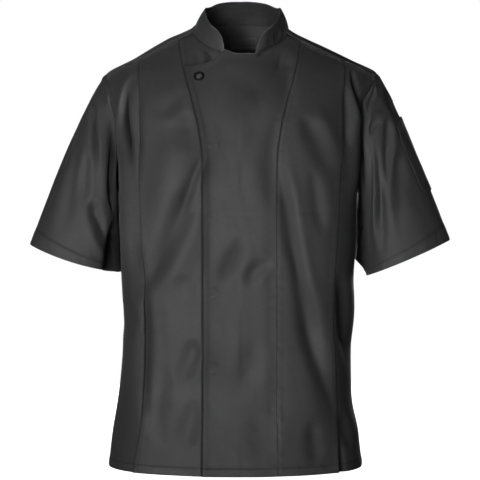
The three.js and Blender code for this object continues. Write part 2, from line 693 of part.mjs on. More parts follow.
// A point of a sleeve: its angle round the armhole, and how far along it lies to the hem.
function smoothSleeve(sign, angle, along) {
  const size = sign < 0 ? sleeves.right : sleeves.left;
  const root = armholePoint(sign, angle);
  const [c, s] = [Math.cos(angle), Math.sin(angle)];
  const middle = { x: (size.outer.x + size.inner.x) / 2, z: (size.outer.z + size.inner.z) / 2 };
  const half = { x: (size.outer.x - size.inner.x) / 2, z: (size.outer.z - size.inner.z) / 2 };
  const hem = {
    x: sign * (middle.x + half.x * c),
    y: sleeveHemY - (s > 0 ? sleeveHemFront : sleeveHemBack) * s,
    z: middle.z + half.z * c - size.sag * s * s,
  };
  const cap = ((1 + c) / 2) ** 2;
  const bend = {
    x: mix(root.x, hem.x, bendShare) + sign * size.bow * cap,
    y: mix(root.y, hem.y, bendShare) - sleeveSwell * s,
    z: mix(root.z, hem.z, bendShare) + sleeveCap * cap,
  };
  const back = 1 - along;
  const curve = (key) => back ** 2 * root[key] + 2 * along * back * bend[key] + along ** 2 * hem[key];
  const [y, z] = [curve("y"), curve("z")];
  const face = y < 0 ? "front" : "back";
  const share = clamp(1 - (Math.abs(y) / depth(z, face)) ** round(z, face), 0, 1);
  const side = reach(z, sign) * share ** (1 / across(z, face));
  const least = side + sleeveClear * ease(0, sleeveRoot.clears, along);
  const x = sign * curve("x");
  return new THREE.Vector3(sign * Math.max(x, least * ease(0, sleeveRoot.meets, along)), y, z);
}

function sleeve(sign, angle, along) {
  const surface = (a, b) => smoothSleeve(sign, a, b);
  const normal = outward(surface, angle, along, angleStep, alongStep).multiplyScalar(sign);
  const shown = angle > Math.PI * 1.5 ? angle - 2 * Math.PI : angle;
  const side = sign < 0 ? "right" : "left";
  const fold = foldDepth(sleeveFolds, "turn", "along", shown, along, side);
  const present = ease(sleeveRoot.meets, sleeveRoot.clears, along);
  return smoothSleeve(sign, angle, along).addScaledVector(normal, -fold * present);
}

const sleeveAngles = [
  ...armholeStrap.slice(0, -1),
  ...armholeFront.slice().reverse(),
  ...armholeBack.slice(1),
  ...armholeYoke.slice(1, -1),
];

function sleeveVertex(sign, angle, along, lift = 0) {
  const surface = (a, b) => sleeve(sign, a, b);
  const inside = clamp(along, alongStep, 1 - alongStep);
  const normal = outward(surface, angle, inside, angleStep, alongStep).multiplyScalar(sign);
  return { point: sleeve(sign, angle, along).addScaledVector(normal, lift), normal };
}

const sleeveAlong = (row) => row / sleeveRows;

function sleeveGrid(sign) {
  const angles = sign < 0 ? sleeveAngles : sleeveAngles.slice().reverse();
  return gridOf(sleeveRows, angles.length - 1, (i, j) => {
    const row = sleeveRows - j;
    const vertex = sleeveVertex(sign, angles[i], sleeveAlong(row));
    if (row > 0) return vertex;
    // The root is a little smaller than the armhole and starts just outside it.
    const root = armholePoint(sign, angles[i]);
    const way = new THREE.Vector3(0, -root.y, armhole.middleZ - root.z).normalize();
    const point = new THREE.Vector3(root.x + sign * sleeveRootGap, root.y, root.z);
    point.addScaledVector(way, seamGap);
    return { point, normal: way.clone().negate() };
  });
}

// The pocket on the wearer's left sleeve, made from the sleeve's own stations, moved out.
function pocketGrid() {
  const count = sleeveAngles.length;
  const rows = pocketRows.last - pocketRows.first;
  const columns = pocketColumns.last - pocketColumns.first;
  return gridOf(rows, columns, (i, j) => {
    const row = pocketRows.first + j;
    const column = (pocketColumns.first + i + count) % count;
    const chamfer = j === rows && (i === 0 || i === columns) ? pocketChamfer : 0;
    return sleeveVertex(1, sleeveAngles[column], sleeveAlong(row - chamfer), pocketLift);
  });
}

// Label inside the back of the neck
function labelGrid() {
  return gridOf(label.rows, label.columns, (i, j) => {
    const x = label.x + label.width * (0.5 - i / label.columns);
    const z = label.z + label.height * (j / label.rows - 0.5);
    return bodyVertex(onFace(x, z, "back"), -cloth - labelLift);
  });
}

// Stud: a domed cap with a dished middle
function studGeometry() {
  const outline = studOutline.map(({ radius, height }) => new THREE.Vector2(radius, height));
  return new THREE.LatheGeometry(outline, studSides);
}
function studMesh() {
  const seat = bodyVertex(onFace(studPlace.x, studPlace.z, "front"), lapLift + seamGap);
  const stud = meshOf("stud", studGeometry(), studMaterial);
  stud.position.copy(seat.point);
  stud.quaternion.setFromUnitVectors(new THREE.Vector3(0, 1, 0), seat.normal);
  return stud;
}

const jacket = new THREE.Group();
jacket.add(
  meshOf("right_side_panel", wallGeometry([sidePanel(-1)], cloth)),
  meshOf("left_side_panel", wallGeometry([sidePanel(1)], cloth)),
  meshOf("right_front", wallGeometry([frontPanel(-1)], cloth)),
  meshOf("left_front", wallGeometry([frontPanel(1)], cloth)),
  meshOf("right_underlap", wallGeometry([underlap()], cloth)),
  meshOf("front_lap", wallGeometry([lapPanel()], cloth)),
  meshOf("back", wallGeometry(backPanel(), cloth)),
  meshOf("collar", wallGeometry([collarGrid()], collarCloth)),
  meshOf("right_sleeve", wallGeometry([sleeveGrid(-1)], cloth, true)),
  meshOf("left_sleeve", wallGeometry([sleeveGrid(1)], cloth, true)),
  meshOf("sleeve_pocket", wallGeometry([pocketGrid()], cloth)),
  meshOf("neck_label", wallGeometry([labelGrid()], label.thickness), labelMaterial),
  studMesh(),
);

export default jacket;
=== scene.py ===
"""The looks of a short-sleeved chef jacket, filled out as if worn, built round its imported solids.

Shapes are worked out in millimetres, +Z up, front towards -Y, wearer's left towards +X, and turned
into metres when a mesh is made. Every cloth piece is a thin wall on its solid's own surface, with its
creases, sewn edges and stitches added in relief.
"""
import json
import math

import bpy
import numpy as np
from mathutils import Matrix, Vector

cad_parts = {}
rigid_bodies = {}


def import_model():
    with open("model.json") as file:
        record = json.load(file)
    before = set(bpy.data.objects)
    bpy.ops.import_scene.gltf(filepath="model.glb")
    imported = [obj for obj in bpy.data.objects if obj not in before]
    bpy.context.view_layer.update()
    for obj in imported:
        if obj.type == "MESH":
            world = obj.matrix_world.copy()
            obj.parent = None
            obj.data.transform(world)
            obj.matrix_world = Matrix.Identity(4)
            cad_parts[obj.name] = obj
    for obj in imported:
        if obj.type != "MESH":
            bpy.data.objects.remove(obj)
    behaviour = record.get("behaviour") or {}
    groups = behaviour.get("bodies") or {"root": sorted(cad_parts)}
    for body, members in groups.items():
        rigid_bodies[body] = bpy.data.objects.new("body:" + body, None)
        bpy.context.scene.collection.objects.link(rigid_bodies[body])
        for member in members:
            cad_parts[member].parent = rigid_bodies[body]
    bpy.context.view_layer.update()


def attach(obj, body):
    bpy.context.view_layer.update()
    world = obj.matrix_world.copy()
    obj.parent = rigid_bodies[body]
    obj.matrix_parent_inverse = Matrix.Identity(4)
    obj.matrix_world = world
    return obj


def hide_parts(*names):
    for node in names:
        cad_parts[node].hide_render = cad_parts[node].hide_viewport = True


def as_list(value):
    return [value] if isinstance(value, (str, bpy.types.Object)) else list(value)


MM = 0.001
PI = math.pi

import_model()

# Thickness of the walls, and how far what lies on the cloth stands out
CLOTH = 1.1
COLLAR_CLOTH = 2.0
LAP_LIFT = 2.1
POCKET_LIFT = 2.0
LABEL_LIFT = 3.4
LABEL_CLOTH = 0.7

# Heights
HEM_Z = -728.0
HEM_RISE = 5.0
HEM_REACH = 180.0
UNDERARM_Z = -254.0
YOKE_Z = -90.0
RIDGE_TOP_Z = 40.0
SHOULDER_POINT_Z = -60.0

# Rows and columns in which places on the body are counted: rows up to the underarm, the yoke and
# the shoulder seam, columns over a side panel, a front and the back of the neck
LOW_ROWS = 14
MID_ROWS = 7
TOP_ROWS = 4
FRONT_ROWS = LOW_ROWS + MID_ROWS + TOP_ROWS
SIDE_COLUMNS = 6
FRONT_COLUMNS = 5
NECK_COLUMNS = 10

# The body's surface, a row for each height: its reach to the wearer's right (left) and left
# (right), forward and back, and how flat and square its front and back are.
SECTIONS = [
    # z, left, right, front, back, across, round, back across, back round
    (-728, 221, 207, 134, 130, 3.2, 2.3, 2.5, 2.1),
    (-670, 215, 200, 135, 125, 3.2, 2.3, 2.5, 2.1),
    (-600, 205, 189, 137, 121, 3.3, 2.3, 2.5, 2.1),
    (-540, 198, 188, 139, 119, 3.4, 2.4, 2.5, 2.1),
    (-480, 196, 190, 142, 121, 3.5, 2.4, 2.5, 2.1),
    (-400, 201, 193, 146, 127, 3.6, 2.5, 2.6, 2.2),
    (-320, 204, 196, 150, 133, 3.8, 2.5, 2.7, 2.2),
    (-250, 205, 198, 149, 136, 3.8, 2.6, 2.7, 2.2),
    (-200, 206, 201, 143, 134, 3.6, 2.6, 2.7, 2.2),
    (-150, 211, 206, 131, 130, 3.3, 2.4, 2.6, 2.1),
    (-110, 225, 214, 117, 123, 2.8, 2.0, 2.4, 1.9),
    (-80, 233, 236, 103, 115, 2.3, 1.6, 2.2, 1.6),
    (-60, 229, 235, 92, 109, 2.1, 1.45, 2.1, 1.45),
    (-53, 217, 226, 87, 106, 2, 1.4, 2, 1.4),
    (-44, 198, 203, 81, 102, 2, 1.35, 2, 1.35),
    (-33, 176, 181, 74, 98, 2, 1.35, 2, 1.35),
    (-20, 156, 154, 65, 93, 2, 1.35, 2, 1.35),
    (-10, 138, 133, 57, 88, 2, 1.35, 2, 1.35),
    (0, 121, 110, 49, 83, 2, 1.35, 2, 1.35),
    (7, 107, 97, 43, 79, 2, 1.35, 2, 1.4),
    (13, 84, 84, 38, 75, 2, 1.35, 2.1, 1.5),
    (20, 78, 78, 32, 71, 2, 1.35, 2.3, 1.8),
    (30, 64, 64, 26, 62, 2, 1.35, 2.6, 2),
    (40, 4, 4, 20, 50, 2, 1.35, 2.6, 2),
]
# Distance of the side panels' seams from the middle: z, wearer's right, wearer's left
SIDE_SEAMS = [
    (-728, 164, 168),
    (-626, 160.5, 162),
    (-523, 160, 155.5),
    (-430, 160, 155),
    (-330, 163, 160),
    (-200, 166.5, 168),
    (-110, 168, 174),
    (-20, 170, 176),
]
# Distance of the lap's two seams from the middle: z, half width
CENTRE_SEAMS = [
    (-728, 62),
    (-600, 60.5),
    (-300, 60),
    (-210, 60.5),
    (-166, 66),
    (-112, 78.5),
    (-60, 92.5),
    (-14, 101),
]
# Top edge of the lap: x, z
FLAP_EDGE = [(-92, -58), (-66, -54.5), (-49.5, -49.5), (-36, -40), (-26, -31)]

# Neckline seen from above
NECK_HALF_WIDTH = 82.0
NECK_FRONT_Y = -75.0
NECK_BACK_Y = 62.0
NECK_MIDDLE_Y = (NECK_FRONT_Y + NECK_BACK_Y) / 2
NECK_HALF_DEPTH = (NECK_BACK_Y - NECK_FRONT_Y) / 2
NECK_LOWEST_Z = -140.0
SHOULDER_SEAM_DROP = 12.0

# Armholes seen from the side
ARMHOLE_MIDDLE_Z = (SHOULDER_POINT_Z + UNDERARM_Z) / 2
ARMHOLE_HALF = (SHOULDER_POINT_Z - UNDERARM_Z) / 2
ARMHOLE_FRONT = 44.0
ARMHOLE_BACK = 72.0
ARMHOLE_TOP_X = 228.0

# Collar
COLLAR_HEIGHT = 36.0
COLLAR_LEAN = 16.0
COLLAR_END_HEIGHT = 17.0
COLLAR_CORNER = 21.0
COLLAR_FOOT = -0.8
COLLAR_END_SHARE = 0.26

# Sleeves: ends of the hem seen from the front, sag of the hem, and bow of the outer edge
SLEEVES = {
    -1: {"outer": (357, -350), "inner": (209, -397), "sag": 6, "bow": -10},
    1: {"outer": (357, -342), "inner": (216, -403), "sag": 1, "bow": -14},
}
BEND_SHARE = 0.35
SLEEVE_CAP = 67.0
SLEEVE_SWELL = 12.0
SLEEVE_HEM_Y = 6.0
SLEEVE_HEM_FRONT = 60.0
SLEEVE_HEM_BACK = 68.0
SLEEVE_CLEAR = 4.0

# Stud, hidden snaps and neck label, as seen from the front
STUD_PLACE = (-67.0, -75.0)
STUD_RADIUS = 8.75
STUD_RIM = 0.5
STUD_RING_WIDTH = 4.0
STUD_CLEAR = 0.15
STUD_CALM = 16
SNAP_X = -44.0
SNAP_HEIGHTS = (-188.0, -306.0, -429.0, -550.0)
LABEL_PLACE = (6.0, 0.5)
LABEL_SIZE = (46.0, 18.0)
LABEL_PITCH = 1.6

# Pocket on the wearer's left sleeve: angles round the sleeve, shares of the way to the hem
POCKET_ANGLES = (-0.62, 0.70)
POCKET_ALONG = (0.452, 0.815)
POCKET_WIDTH = 108.0
POCKET_CORNER = 20.0
POCKET_MOUTH = 19.0
POCKET_PITCH = 2.8

# Steps over which the body's curves are averaged
SOFTEN_STEPS = (-7.0, -3.5, 0.0, 3.5, 7.0)

# Sewn edges: offsets of the mesh lines beside an edge, in which the stitch rows have their own
EDGE_LINES = (0, 0.5, 1.1, 1.8, 2.5, 3.6, 4.8, 5.8, 6.5, 7.2, 8.4, 10.5)
FIRST_STITCH_LINE = 3
SECOND_STITCH_LINE = 8
STITCH_ROWS = (EDGE_LINES[FIRST_STITCH_LINE], EDGE_LINES[SECOND_STITCH_LINE])
HEM_LINES = (0, 0.5, 1.1, 2.2, 4.4, 6.8, 9.2, 11.6, 12.8, 13.6, 14.4, 15.8, 18)
HEM_STITCH_LINE = 9
HEM_HEIGHT = HEM_LINES[HEM_STITCH_LINE]
LABEL_LINES = (0, 0.4, 0.8, 1.2, 1.7, 2.4)
LABEL_STITCH_LINE = 3
LABEL_STITCHES = LABEL_LINES[LABEL_STITCH_LINE]

# Vents, by the side of the body (-1 is the wearer's right). Of the front: how far its edge laps over
# the side panel's (negative: stands off it), how far it stands out, and from which share of the
# width. Of the side panel: how deep it dips, how far from the edge, and how dark its painted shade is
# there.
VENT_Z = -623.0
FRONT_VENTS = {-1: (13.0, 2.6, 0.7), 1: (-5.5, 1.4, 0.8)}
SIDE_VENTS = {-1: (1.8, 16, 0.0), 1: (8, 8, 1.2)}
# Reach of the painted shade in the side panels' vents
VENT_PAINTED_SHADE_REACH = 9

# Usual widths and lengths of the pieces, from which their mesh lines are spaced, the least width
# that the lines are squeezed to, and how much longer the cloth is than the straight way across
SIDE_WIDTH, SIDE_LEAST, SIDE_BULGE = 118, 30, 1.06
FRONT_WIDTH, FRONT_LEAST, FRONT_BULGE = 112, 40, 1.12
UNDERLAP_WIDTH = 92
LAP_WIDTH = 130
TOP_LENGTH = 80.0
FRONT_TOP_LENGTH = 90
LAP_TOP_LENGTHS = (40, 78)
STRAP_LENGTH = 34
YOKE_LENGTH = 110


def clamp(value, low, high):
    return np.minimum(high, np.maximum(low, value))


def mix(a, b, share):
    return a + (b - a) * share


def ease(low, high, value):
    share = clamp((value - low) / (high - low), 0, 1)
    return share * share * (3 - 2 * share)


def bump(value, width):
    return np.exp(-((value / width) ** 2))


def plateau(a, b, c, d, value):
    """1 between b and c, falling to 0 at a and at d."""
    return ease(a, b, value) * (1 - ease(c, d, value))


def smooth_curve(xs, ys):
    """A function along a smooth curve through a table's rows that doesn't overshoot them."""
    xs, ys = np.asarray(xs, float), np.asarray(ys, float)
    rise = np.diff(ys) / np.diff(xs)
    slope = np.concatenate([rise[:1], np.zeros(len(xs) - 2), rise[-1:]])
    before, after = rise[:-1], rise[1:]
    same = before * after > 0
    slope[1:-1][same] = 2 * before[same] * after[same] / (before + after)[same]

    def read(at):
        at = clamp(at, xs[0], xs[-1])
        i = clamp(np.searchsorted(xs, at) - 1, 0, len(xs) - 2)
        step = xs[i + 1] - xs[i]
        t = (at - xs[i]) / step
        return (
            ys[i] * (1 + 2 * t) * (1 - t) ** 2
            + slope[i] * step * t * (1 - t) ** 2
            + ys[i + 1] * t * t * (3 - 2 * t)
            + slope[i + 1] * step * t * t * (t - 1)
        )

    return read


def softened(read):
    """A curve that is the mean of another one over a short stretch, so that its bends are eased."""
    return lambda at: sum(read(at + step) for step in SOFTEN_STEPS) / len(SOFTEN_STEPS)


def columns_of(table):
    """A smooth curve over the first column for each other column of a table."""
    columns = list(zip(*table))
    return [smooth_curve(columns[0], c) for c in columns[1:]]


BODY_CURVES = [softened(read) for read in columns_of(SECTIONS)]
LEFT, RIGHT, FRONT, BACK, ACROSS, ROUND, BACK_ACROSS, BACK_ROUND = BODY_CURVES
SIDE_LEFT, SIDE_RIGHT = columns_of(SIDE_SEAMS)
(CENTRE,) = columns_of(CENTRE_SEAMS)
(FLAP,) = columns_of(FLAP_EDGE)


def solve(low, high, gap):
    """Where a falling or rising function crosses zero between low and high."""
    rising = gap(high) > 0
    for _ in range(40):
        middle = (low + high) / 2
        upper = (gap(middle) > 0) == rising
        high = np.where(upper, middle, high)
        low = np.where(upper, low, middle)
    return (low + high) / 2


# The body's surface


def reach(z, x):
    return np.where(np.asarray(x) < 0, LEFT(z), RIGHT(z))


def depth(z, front):
    return np.where(front, FRONT(z), BACK(z))


def across(z, front):
    return np.where(front, ACROSS(z), BACK_ACROSS(z))


def roundness(z, front):
    return np.where(front, ROUND(z), BACK_ROUND(z))


def ridge_exact(x):
    low = np.full(np.shape(x), SHOULDER_POINT_Z)
    high = np.full(np.shape(x), RIDGE_TOP_Z)
    z = solve(low, high, lambda at: reach(at, x) - np.abs(x))
    z = np.where(np.abs(x) >= reach(SHOULDER_POINT_Z, x), SHOULDER_POINT_Z, z)
    return np.where(np.abs(x) <= reach(RIDGE_TOP_Z, x), RIDGE_TOP_Z, z)


# Places where the ridge and the fronts' top edge are worked out once, to be read between them
RIDGE_X = np.linspace(-240, 240, 3841)
RIDGE_HEIGHTS = ridge_exact(RIDGE_X)


def ridge(x):
    """Height of the shoulder's ridge at x."""
    return np.interp(x, RIDGE_X, RIDGE_HEIGHTS)


def turn_at(x, z, front):
    """The angle round a section: 0 at the wearer's left side, positive over the back."""
    share = clamp(np.abs(x) / reach(z, x), 0, 1) ** (across(z, front) / 2)
    angle = np.arccos(share)
    turn = np.where(np.asarray(x) >= 0, angle, PI - angle)
    return np.where(front, -turn, turn)


def smooth_body(turn, z):
    """Points of the body without folds, for arrays of angles and heights."""
    turn, z = np.broadcast_arrays(turn, z)
    c, s = np.cos(turn), np.sin(turn)
    front = s <= 0
    x = np.sign(c) * reach(z, c) * np.abs(c) ** (2 / across(z, front))
    y = np.sign(s) * depth(z, front) * np.abs(s) ** (2 / roundness(z, front))
    return np.stack([x, y, z], axis=-1)


def neck_z(x, y):
    """Height at which the body has the neckline's depth, at places seen from above."""
    front = y < 0

    def wide(z):
        share = clamp(np.abs(x) / reach(z, x), 0, 1)
        body = depth(z, front) * (1 - share ** across(z, front)) ** (1 / roundness(z, front))
        return body - np.abs(y)

    low, high = np.full(np.shape(x), NECK_LOWEST_Z), np.full(np.shape(x), RIDGE_TOP_Z)
    return solve(low, high, wide)


def neck_point(angle):
    """A point of the neckline by its angle, from the wearer's left over the back."""
    x = NECK_HALF_WIDTH * np.cos(angle)
    y = NECK_MIDDLE_Y + NECK_HALF_DEPTH * np.sin(angle)
    return x, y, neck_z(x, y)


def neck_above_seam(angle):
    """How far the neckline lies below the shoulder seam, at an angle before the side."""
    x, y, z = neck_point(-angle)
    return np.where(y > 0, -1.0, ridge_exact(x) - SHOULDER_SEAM_DROP - z)


NECK_SEAM_ANGLE = float(solve(np.array(0.02), np.array(1.0), neck_above_seam))
NECK_SEAM_X = float(neck_point(np.array(-NECK_SEAM_ANGLE))[0])
NECK_RIDGE_ANGLE = math.asin(-NECK_MIDDLE_Y / NECK_HALF_DEPTH)


def front_top_exact(x):
    side = clamp(x / NECK_HALF_WIDTH, -1, 1)
    neck = neck_point(-np.arccos(side))[2]
    return np.where(np.abs(x) >= NECK_SEAM_X, ridge(x) - SHOULDER_SEAM_DROP, neck)


FRONT_TOP_HEIGHTS = front_top_exact(RIDGE_X)


def front_top(x):
    """Height of the fronts' upper edge at x: the neckline, then the shoulder seam."""
    return np.interp(x, RIDGE_X, FRONT_TOP_HEIGHTS)


def flap_top(x):
    return np.where(x < FLAP_EDGE[-1][0], FLAP(x), front_top(x))


def armhole(sign, angle):
    """(angle round the body, height) of a point of the armhole, from the shoulder (0) over the
    front to the underarm (pi) and back up."""
    s = np.sin(angle)
    y = -np.where(s > 0, ARMHOLE_FRONT, ARMHOLE_BACK) * s
    z = ARMHOLE_MIDDLE_Z + ARMHOLE_HALF * np.cos(angle)
    front = y < 0
    swing = np.arcsin(clamp((np.abs(y) / depth(z, front)) ** (roundness(z, front) / 2), 0, 1))
    turn = np.where(sign > 0, swing, PI - swing) * np.where(front, -1, 1)
    return turn, z


ARMHOLE_SEAM_ANGLE = math.acos(
    (float(ridge(ARMHOLE_TOP_X)) - SHOULDER_SEAM_DROP - ARMHOLE_MIDDLE_Z) / ARMHOLE_HALF
)
ARMHOLE_YOKE_ANGLE = math.acos((YOKE_Z - ARMHOLE_MIDDLE_Z) / ARMHOLE_HALF)


def row_z(row, top):
    """Height of a row of the fronts, from the hem (0) up to a column's own top."""
    low = mix(HEM_Z, UNDERARM_Z, row / LOW_ROWS)
    middle = mix(UNDERARM_Z, YOKE_Z, (row - LOW_ROWS) / MID_ROWS)
    upper = mix(YOKE_Z, top, (row - LOW_ROWS - MID_ROWS) / TOP_ROWS)
    return np.where(row <= LOW_ROWS, low, np.where(row <= LOW_ROWS + MID_ROWS, middle, upper))


def side_seam_x(z, sign):
    """Where the seam between a front and its side panel lies."""
    return sign * np.where(sign < 0, SIDE_LEFT(z), SIDE_RIGHT(z))


def column_top(seam_x, top_of=front_top):
    """Height at which a column, given by its x at a height, meets the top edge."""
    z = np.array(-30.0)
    for _ in range(24):
        z = top_of(seam_x(z))
    return z


# Places of mesh lines


def lines_across(width, pitch, first=EDGE_LINES, last=EDGE_LINES):
    """Offsets of mesh lines between two edges a width apart, close together beside each edge."""
    inner = max(1, round((width - first[-1] - last[-1]) / pitch))
    middle = np.linspace(first[-1], width - last[-1], inner + 1)
    return np.concatenate([first[:-1], middle, width - np.array(last[-2::-1])])


def stretched(lines, width):
    """Shares of a width that varies, for lines that keep their offsets near both edges."""
    nominal = lines[-1]
    keep = EDGE_LINES[-1]
    near, far = lines, nominal - lines
    inside = keep + (lines - keep) * (width - 2 * keep) / (nominal - 2 * keep)
    place = np.where(near < keep, near, np.where(far < keep, width - far, inside))
    return place / width


ROW_PITCH = 2.7
COLUMN_PITCH = 3.8
MID_LINES = 63


def body_rows():
    """Rows of the fronts and sides, close together at the hem and beside the top seam."""
    low = lines_across(UNDERARM_Z - HEM_Z, ROW_PITCH, HEM_LINES, (0, ROW_PITCH))
    low = low / (UNDERARM_Z - HEM_Z) * LOW_ROWS
    middle = LOW_ROWS + np.arange(1, MID_LINES + 1) / MID_LINES * MID_ROWS
    high = lines_across(TOP_LENGTH, ROW_PITCH, (0, ROW_PITCH), EDGE_LINES)[1:] / TOP_LENGTH
    return np.concatenate([low, middle, LOW_ROWS + MID_ROWS + high * TOP_ROWS])[:, None]


# Creases and other relief


def noise(a, b, seed):
    """Smooth random values from about -1 to 1 over two coordinates, other ones for each seed."""
    table = np.random.default_rng(seed).uniform(-1, 1, (61, 61))
    a, b = np.broadcast_arrays(a, b)
    i, j = np.floor(a).astype(int), np.floor(b).astype(int)
    u, v = ease(0, 1, a - i), ease(0, 1, b - j)
    i, j = i % 60, j % 60
    low = mix(table[i, j], table[i + 1, j], u)
    high = mix(table[i, j + 1], table[i + 1, j + 1], u)
    return mix(low, high, v)


CURVE_STEPS = 8


def through(points):
    """Points along a smooth curve through a few."""
    p = np.array(points, float)
    if len(p) == 2:
        return np.linspace(p[0], p[1], CURVE_STEPS)
    ends = np.concatenate([[2 * p[0] - p[1]], p, [2 * p[-1] - p[-2]]])
    out = []
    for a, b, c, d in zip(ends, ends[1:], ends[2:], ends[3:]):
        for t in np.linspace(0, 1, CURVE_STEPS, endpoint=False):
            square = 2 * a - 5 * b + 4 * c - d
            cube = 3 * b - a - 3 * c + d
            out.append(0.5 * (2 * b + (c - a) * t + square * t**2 + cube * t**3))
    return np.array(out + [p[-1]])


def beside(path, a, b):
    """(offset to the left of a path, share of its length) for points."""
    start, way = path[:-1], np.diff(path, axis=0)
    length = np.linalg.norm(way, axis=1)
    done = np.concatenate([[0], np.cumsum(length)])
    pa, pb = a[..., None] - start[:, 0], b[..., None] - start[:, 1]
    t = clamp((pa * way[:, 0] + pb * way[:, 1]) / length**2, 0, 1)
    gap = np.hypot(pa - t * way[:, 0], pb - t * way[:, 1])
    nearest = gap.argmin(-1)[..., None]
    side = np.sign(way[:, 0] * pb - way[:, 1] * pa)
    pick = lambda values: np.take_along_axis(values, nearest, -1)[..., 0]
    return pick(gap * side), pick(done[:-1] + t * length) / done[-1]


def creased(creases, a, b):
    """Relief of creases at points. A crease is (path, half width, depth, lip): a trough, or a ridge
    where its depth is negative, with a raised lip on the side that the lip's sign says."""
    relief = np.zeros(np.shape(a))
    for k, (points, width, deep, lip) in enumerate(creases):
        path = through(points)
        low, high = path.min(0) - 4 * width, path.max(0) + 4 * width
        near = (a > low[0]) & (a < high[0]) & (b > low[1]) & (b < high[1])
        if not near.any():
            continue
        off, share = beside(path, a[near], b[near])
        off = off / (width * (0.8 + 0.5 * np.sin(PI * share)))
        fade = plateau(-0.02, 0.3, 0.62, 1.02, share)
        uneven = 1 + 0.25 * noise(share * 4, np.full_like(share, k * 3.7), 11)
        shape = bump(off, 1) - abs(lip) * bump(off - 1.7 * np.sign(lip), 0.95)
        relief[near] -= deep * fade * uneven * shape
    return relief


# Creases of the front, as seen from the front: points (x, z), half width, depth, lip
FRONT_CREASES = [
    # long shade from the lap's middle to the wearer's right side
    ([(-58, -196), (-80, -256), (-102, -314)], 5.5, 4.5, 0.5),
    ([(-72, -240), (-101, -312), (-132, -370), (-160, -420), (-176, -452)], 15, 11, 0.35),
    ([(-92, -165), (-114, -240), (-146, -305)], 27, -7, 0),
    ([(-88, -94), (-138, -145)], 11, 4, 0.3),
    ([(-90, -130), (-84, -175)], 8, 3, 0.3),
    # down the wearer's left front
    ([(61, -208), (73, -279), (82, -344), (93, -385), (103, -442)], 9, 8, 0.4),
    ([(84, -360), (103, -442), (117, -502), (130, -556), (152, -630)], 11, 9, 0.35),
    ([(98, -430), (122, -482), (140, -545)], 23, 7, 0.2),
    ([(101, -134), (130, -197), (155, -240)], 11, 6, 0.4),
    ([(122, -120), (143, -165), (160, -220)], 13, -2.8, 0),
    ([(117, -225), (125, -280), (134, -340)], 9, 4.2, 0.35),
    ([(76, -60), (80, -100), (74, -150)], 10, 3, -0.3),
    # lap
    ([(5, -335), (-12, -372), (-36, -416)], 10, 6, 0.35),
    ([(54, -378), (26, -391), (12, -420)], 8.5, 5, 0.35),
    ([(30, -500), (10, -560), (-14, -600)], 14, 3.5, 0.3),
    ([(-10, -150), (-30, -200), (-38, -260)], 16, 3, 0.3),
    ([(56, -150), (50, -230), (54, -300)], 12, 3.5, -0.3),
    ([(-30, -60), (10, -92), (48, -96)], 16, 3, 0.2),
    # lower right
    ([(-68, -500), (-84, -540), (-101, -580)], 11, 6, 0.35),
    ([(-73, -602), (-93, -690)], 12, 6, 0.35),
    ([(-88, -390), (-94, -476)], 14, 4.5, 0.3),
    ([(-120, -540), (-132, -620), (-128, -690)], 13, 4.5, -0.3),
    ([(-156, -396), (-158, -500), (-157, -650)], 8, 6, 0.3),
    # by the armholes
    ([(-174, -50), (-192, -98), (-198, -150), (-198, -240)], 6, -6, 0),
    ([(-186, -84), (-190, -137), (-184, -184), (-178, -222)], 5, 8, 0.3),
    ([(-165, -52), (-169, -120), (-166, -200), (-164, -262)], 5.5, 4, 0.3),
    ([(184, -66), (191, -116), (193, -160), (191, -300)], 7, -6.5, 0),
    ([(172, -80), (177, -130), (174, -210)], 5.5, 4, 0.3),
    ([(186, -52), (191, -80), (196, -112), (199, -150)], 4, 9, 0),
    # below the collar
    ([(60, -26), (62, -45), (61, -66)], 3, 3.5, 0.4),
    ([(76, -18), (84, -36), (88, -58)], 12, -4, 0),
    # sides
    ([(165, -392), (172, -470), (180, -560)], 9, 9, 0.3),
    ([(165, -625), (186, -700)], 7, 5, 0.3),
    ([(-190, -440), (-180, -470), (-190, -505)], 8, 5, 0.3),
    ([(-176, -330), (-172, -400), (-176, -470)], 9, 3.5, 0.3),
    ([(118, -636), (126, -715)], 10, 4.5, -0.3),
    ([(30, -620), (36, -716)], 14, 3, 0.3),
]
# Painted light and shade on the front's cloth: painted shade in its deepest creases and where it
# turns from the lamps, and (negative) painted light: points (x, z), half width, how much darker, lip
FRONT_PAINTED_SHADING = [
    ([(186, -52), (191, -80), (196, -112), (200, -160)], 3.6, 1.1, 0),
    ([(-186, -76), (-190, -137), (-184, -184), (-176, -240)], 4.6, 1.5, 0),
    ([(-172, -46), (-190, -92), (-199, -147), (-197, -200)], 2.8, -1.9, 0),
    ([(-184, -180), (-182, -290), (-184, -410)], 14, -1.8, 0),
    ([(180, -84), (182, -190), (180, -350)], 8, -1.5, 0),
    ([(197, -120), (199, -220), (197, -340)], 4, 1.0, 0),
    ([(42, -42), (50, -60), (54, -92)], 9, 0.35, 0),
    ([(-24, -84), (20, -92), (54, -132)], 34, 0.5, 0),
    ([(-64, -214), (-100, -284), (-122, -344), (-142, -396), (-164, -440)], 9, 0.45, 0),
    ([(-156, -380), (-158, -500), (-157, -660)], 6, 0.5, 0),
    ([(102, -130), (128, -182), (160, -232)], 8, 0.5, 0),
    ([(64, -232), (72, -290), (85, -372), (103, -436), (118, -506)], 5.5, 0.65, 0),
    ([(124, -532), (138, -580), (153, -634)], 4.5, 0.8, 0),
    ([(165, -392), (171, -460), (179, -556)], 4, 0.9, 0),
    ([(4, -340), (-12, -374), (-34, -412)], 7, 0.35, 0),
    ([(64, -28), (63, -50), (61, -70)], 2.4, 1.0, 0),
    ([(73, -24), (80, -42), (86, -64)], 8, -0.9, 0),
    ([(-45, -26), (-38, -37), (-36, -48)], 3, -1.4, 0),
    ([(-62, -26), (-55, -40), (-57, -58)], 3, 0.7, 0),
]
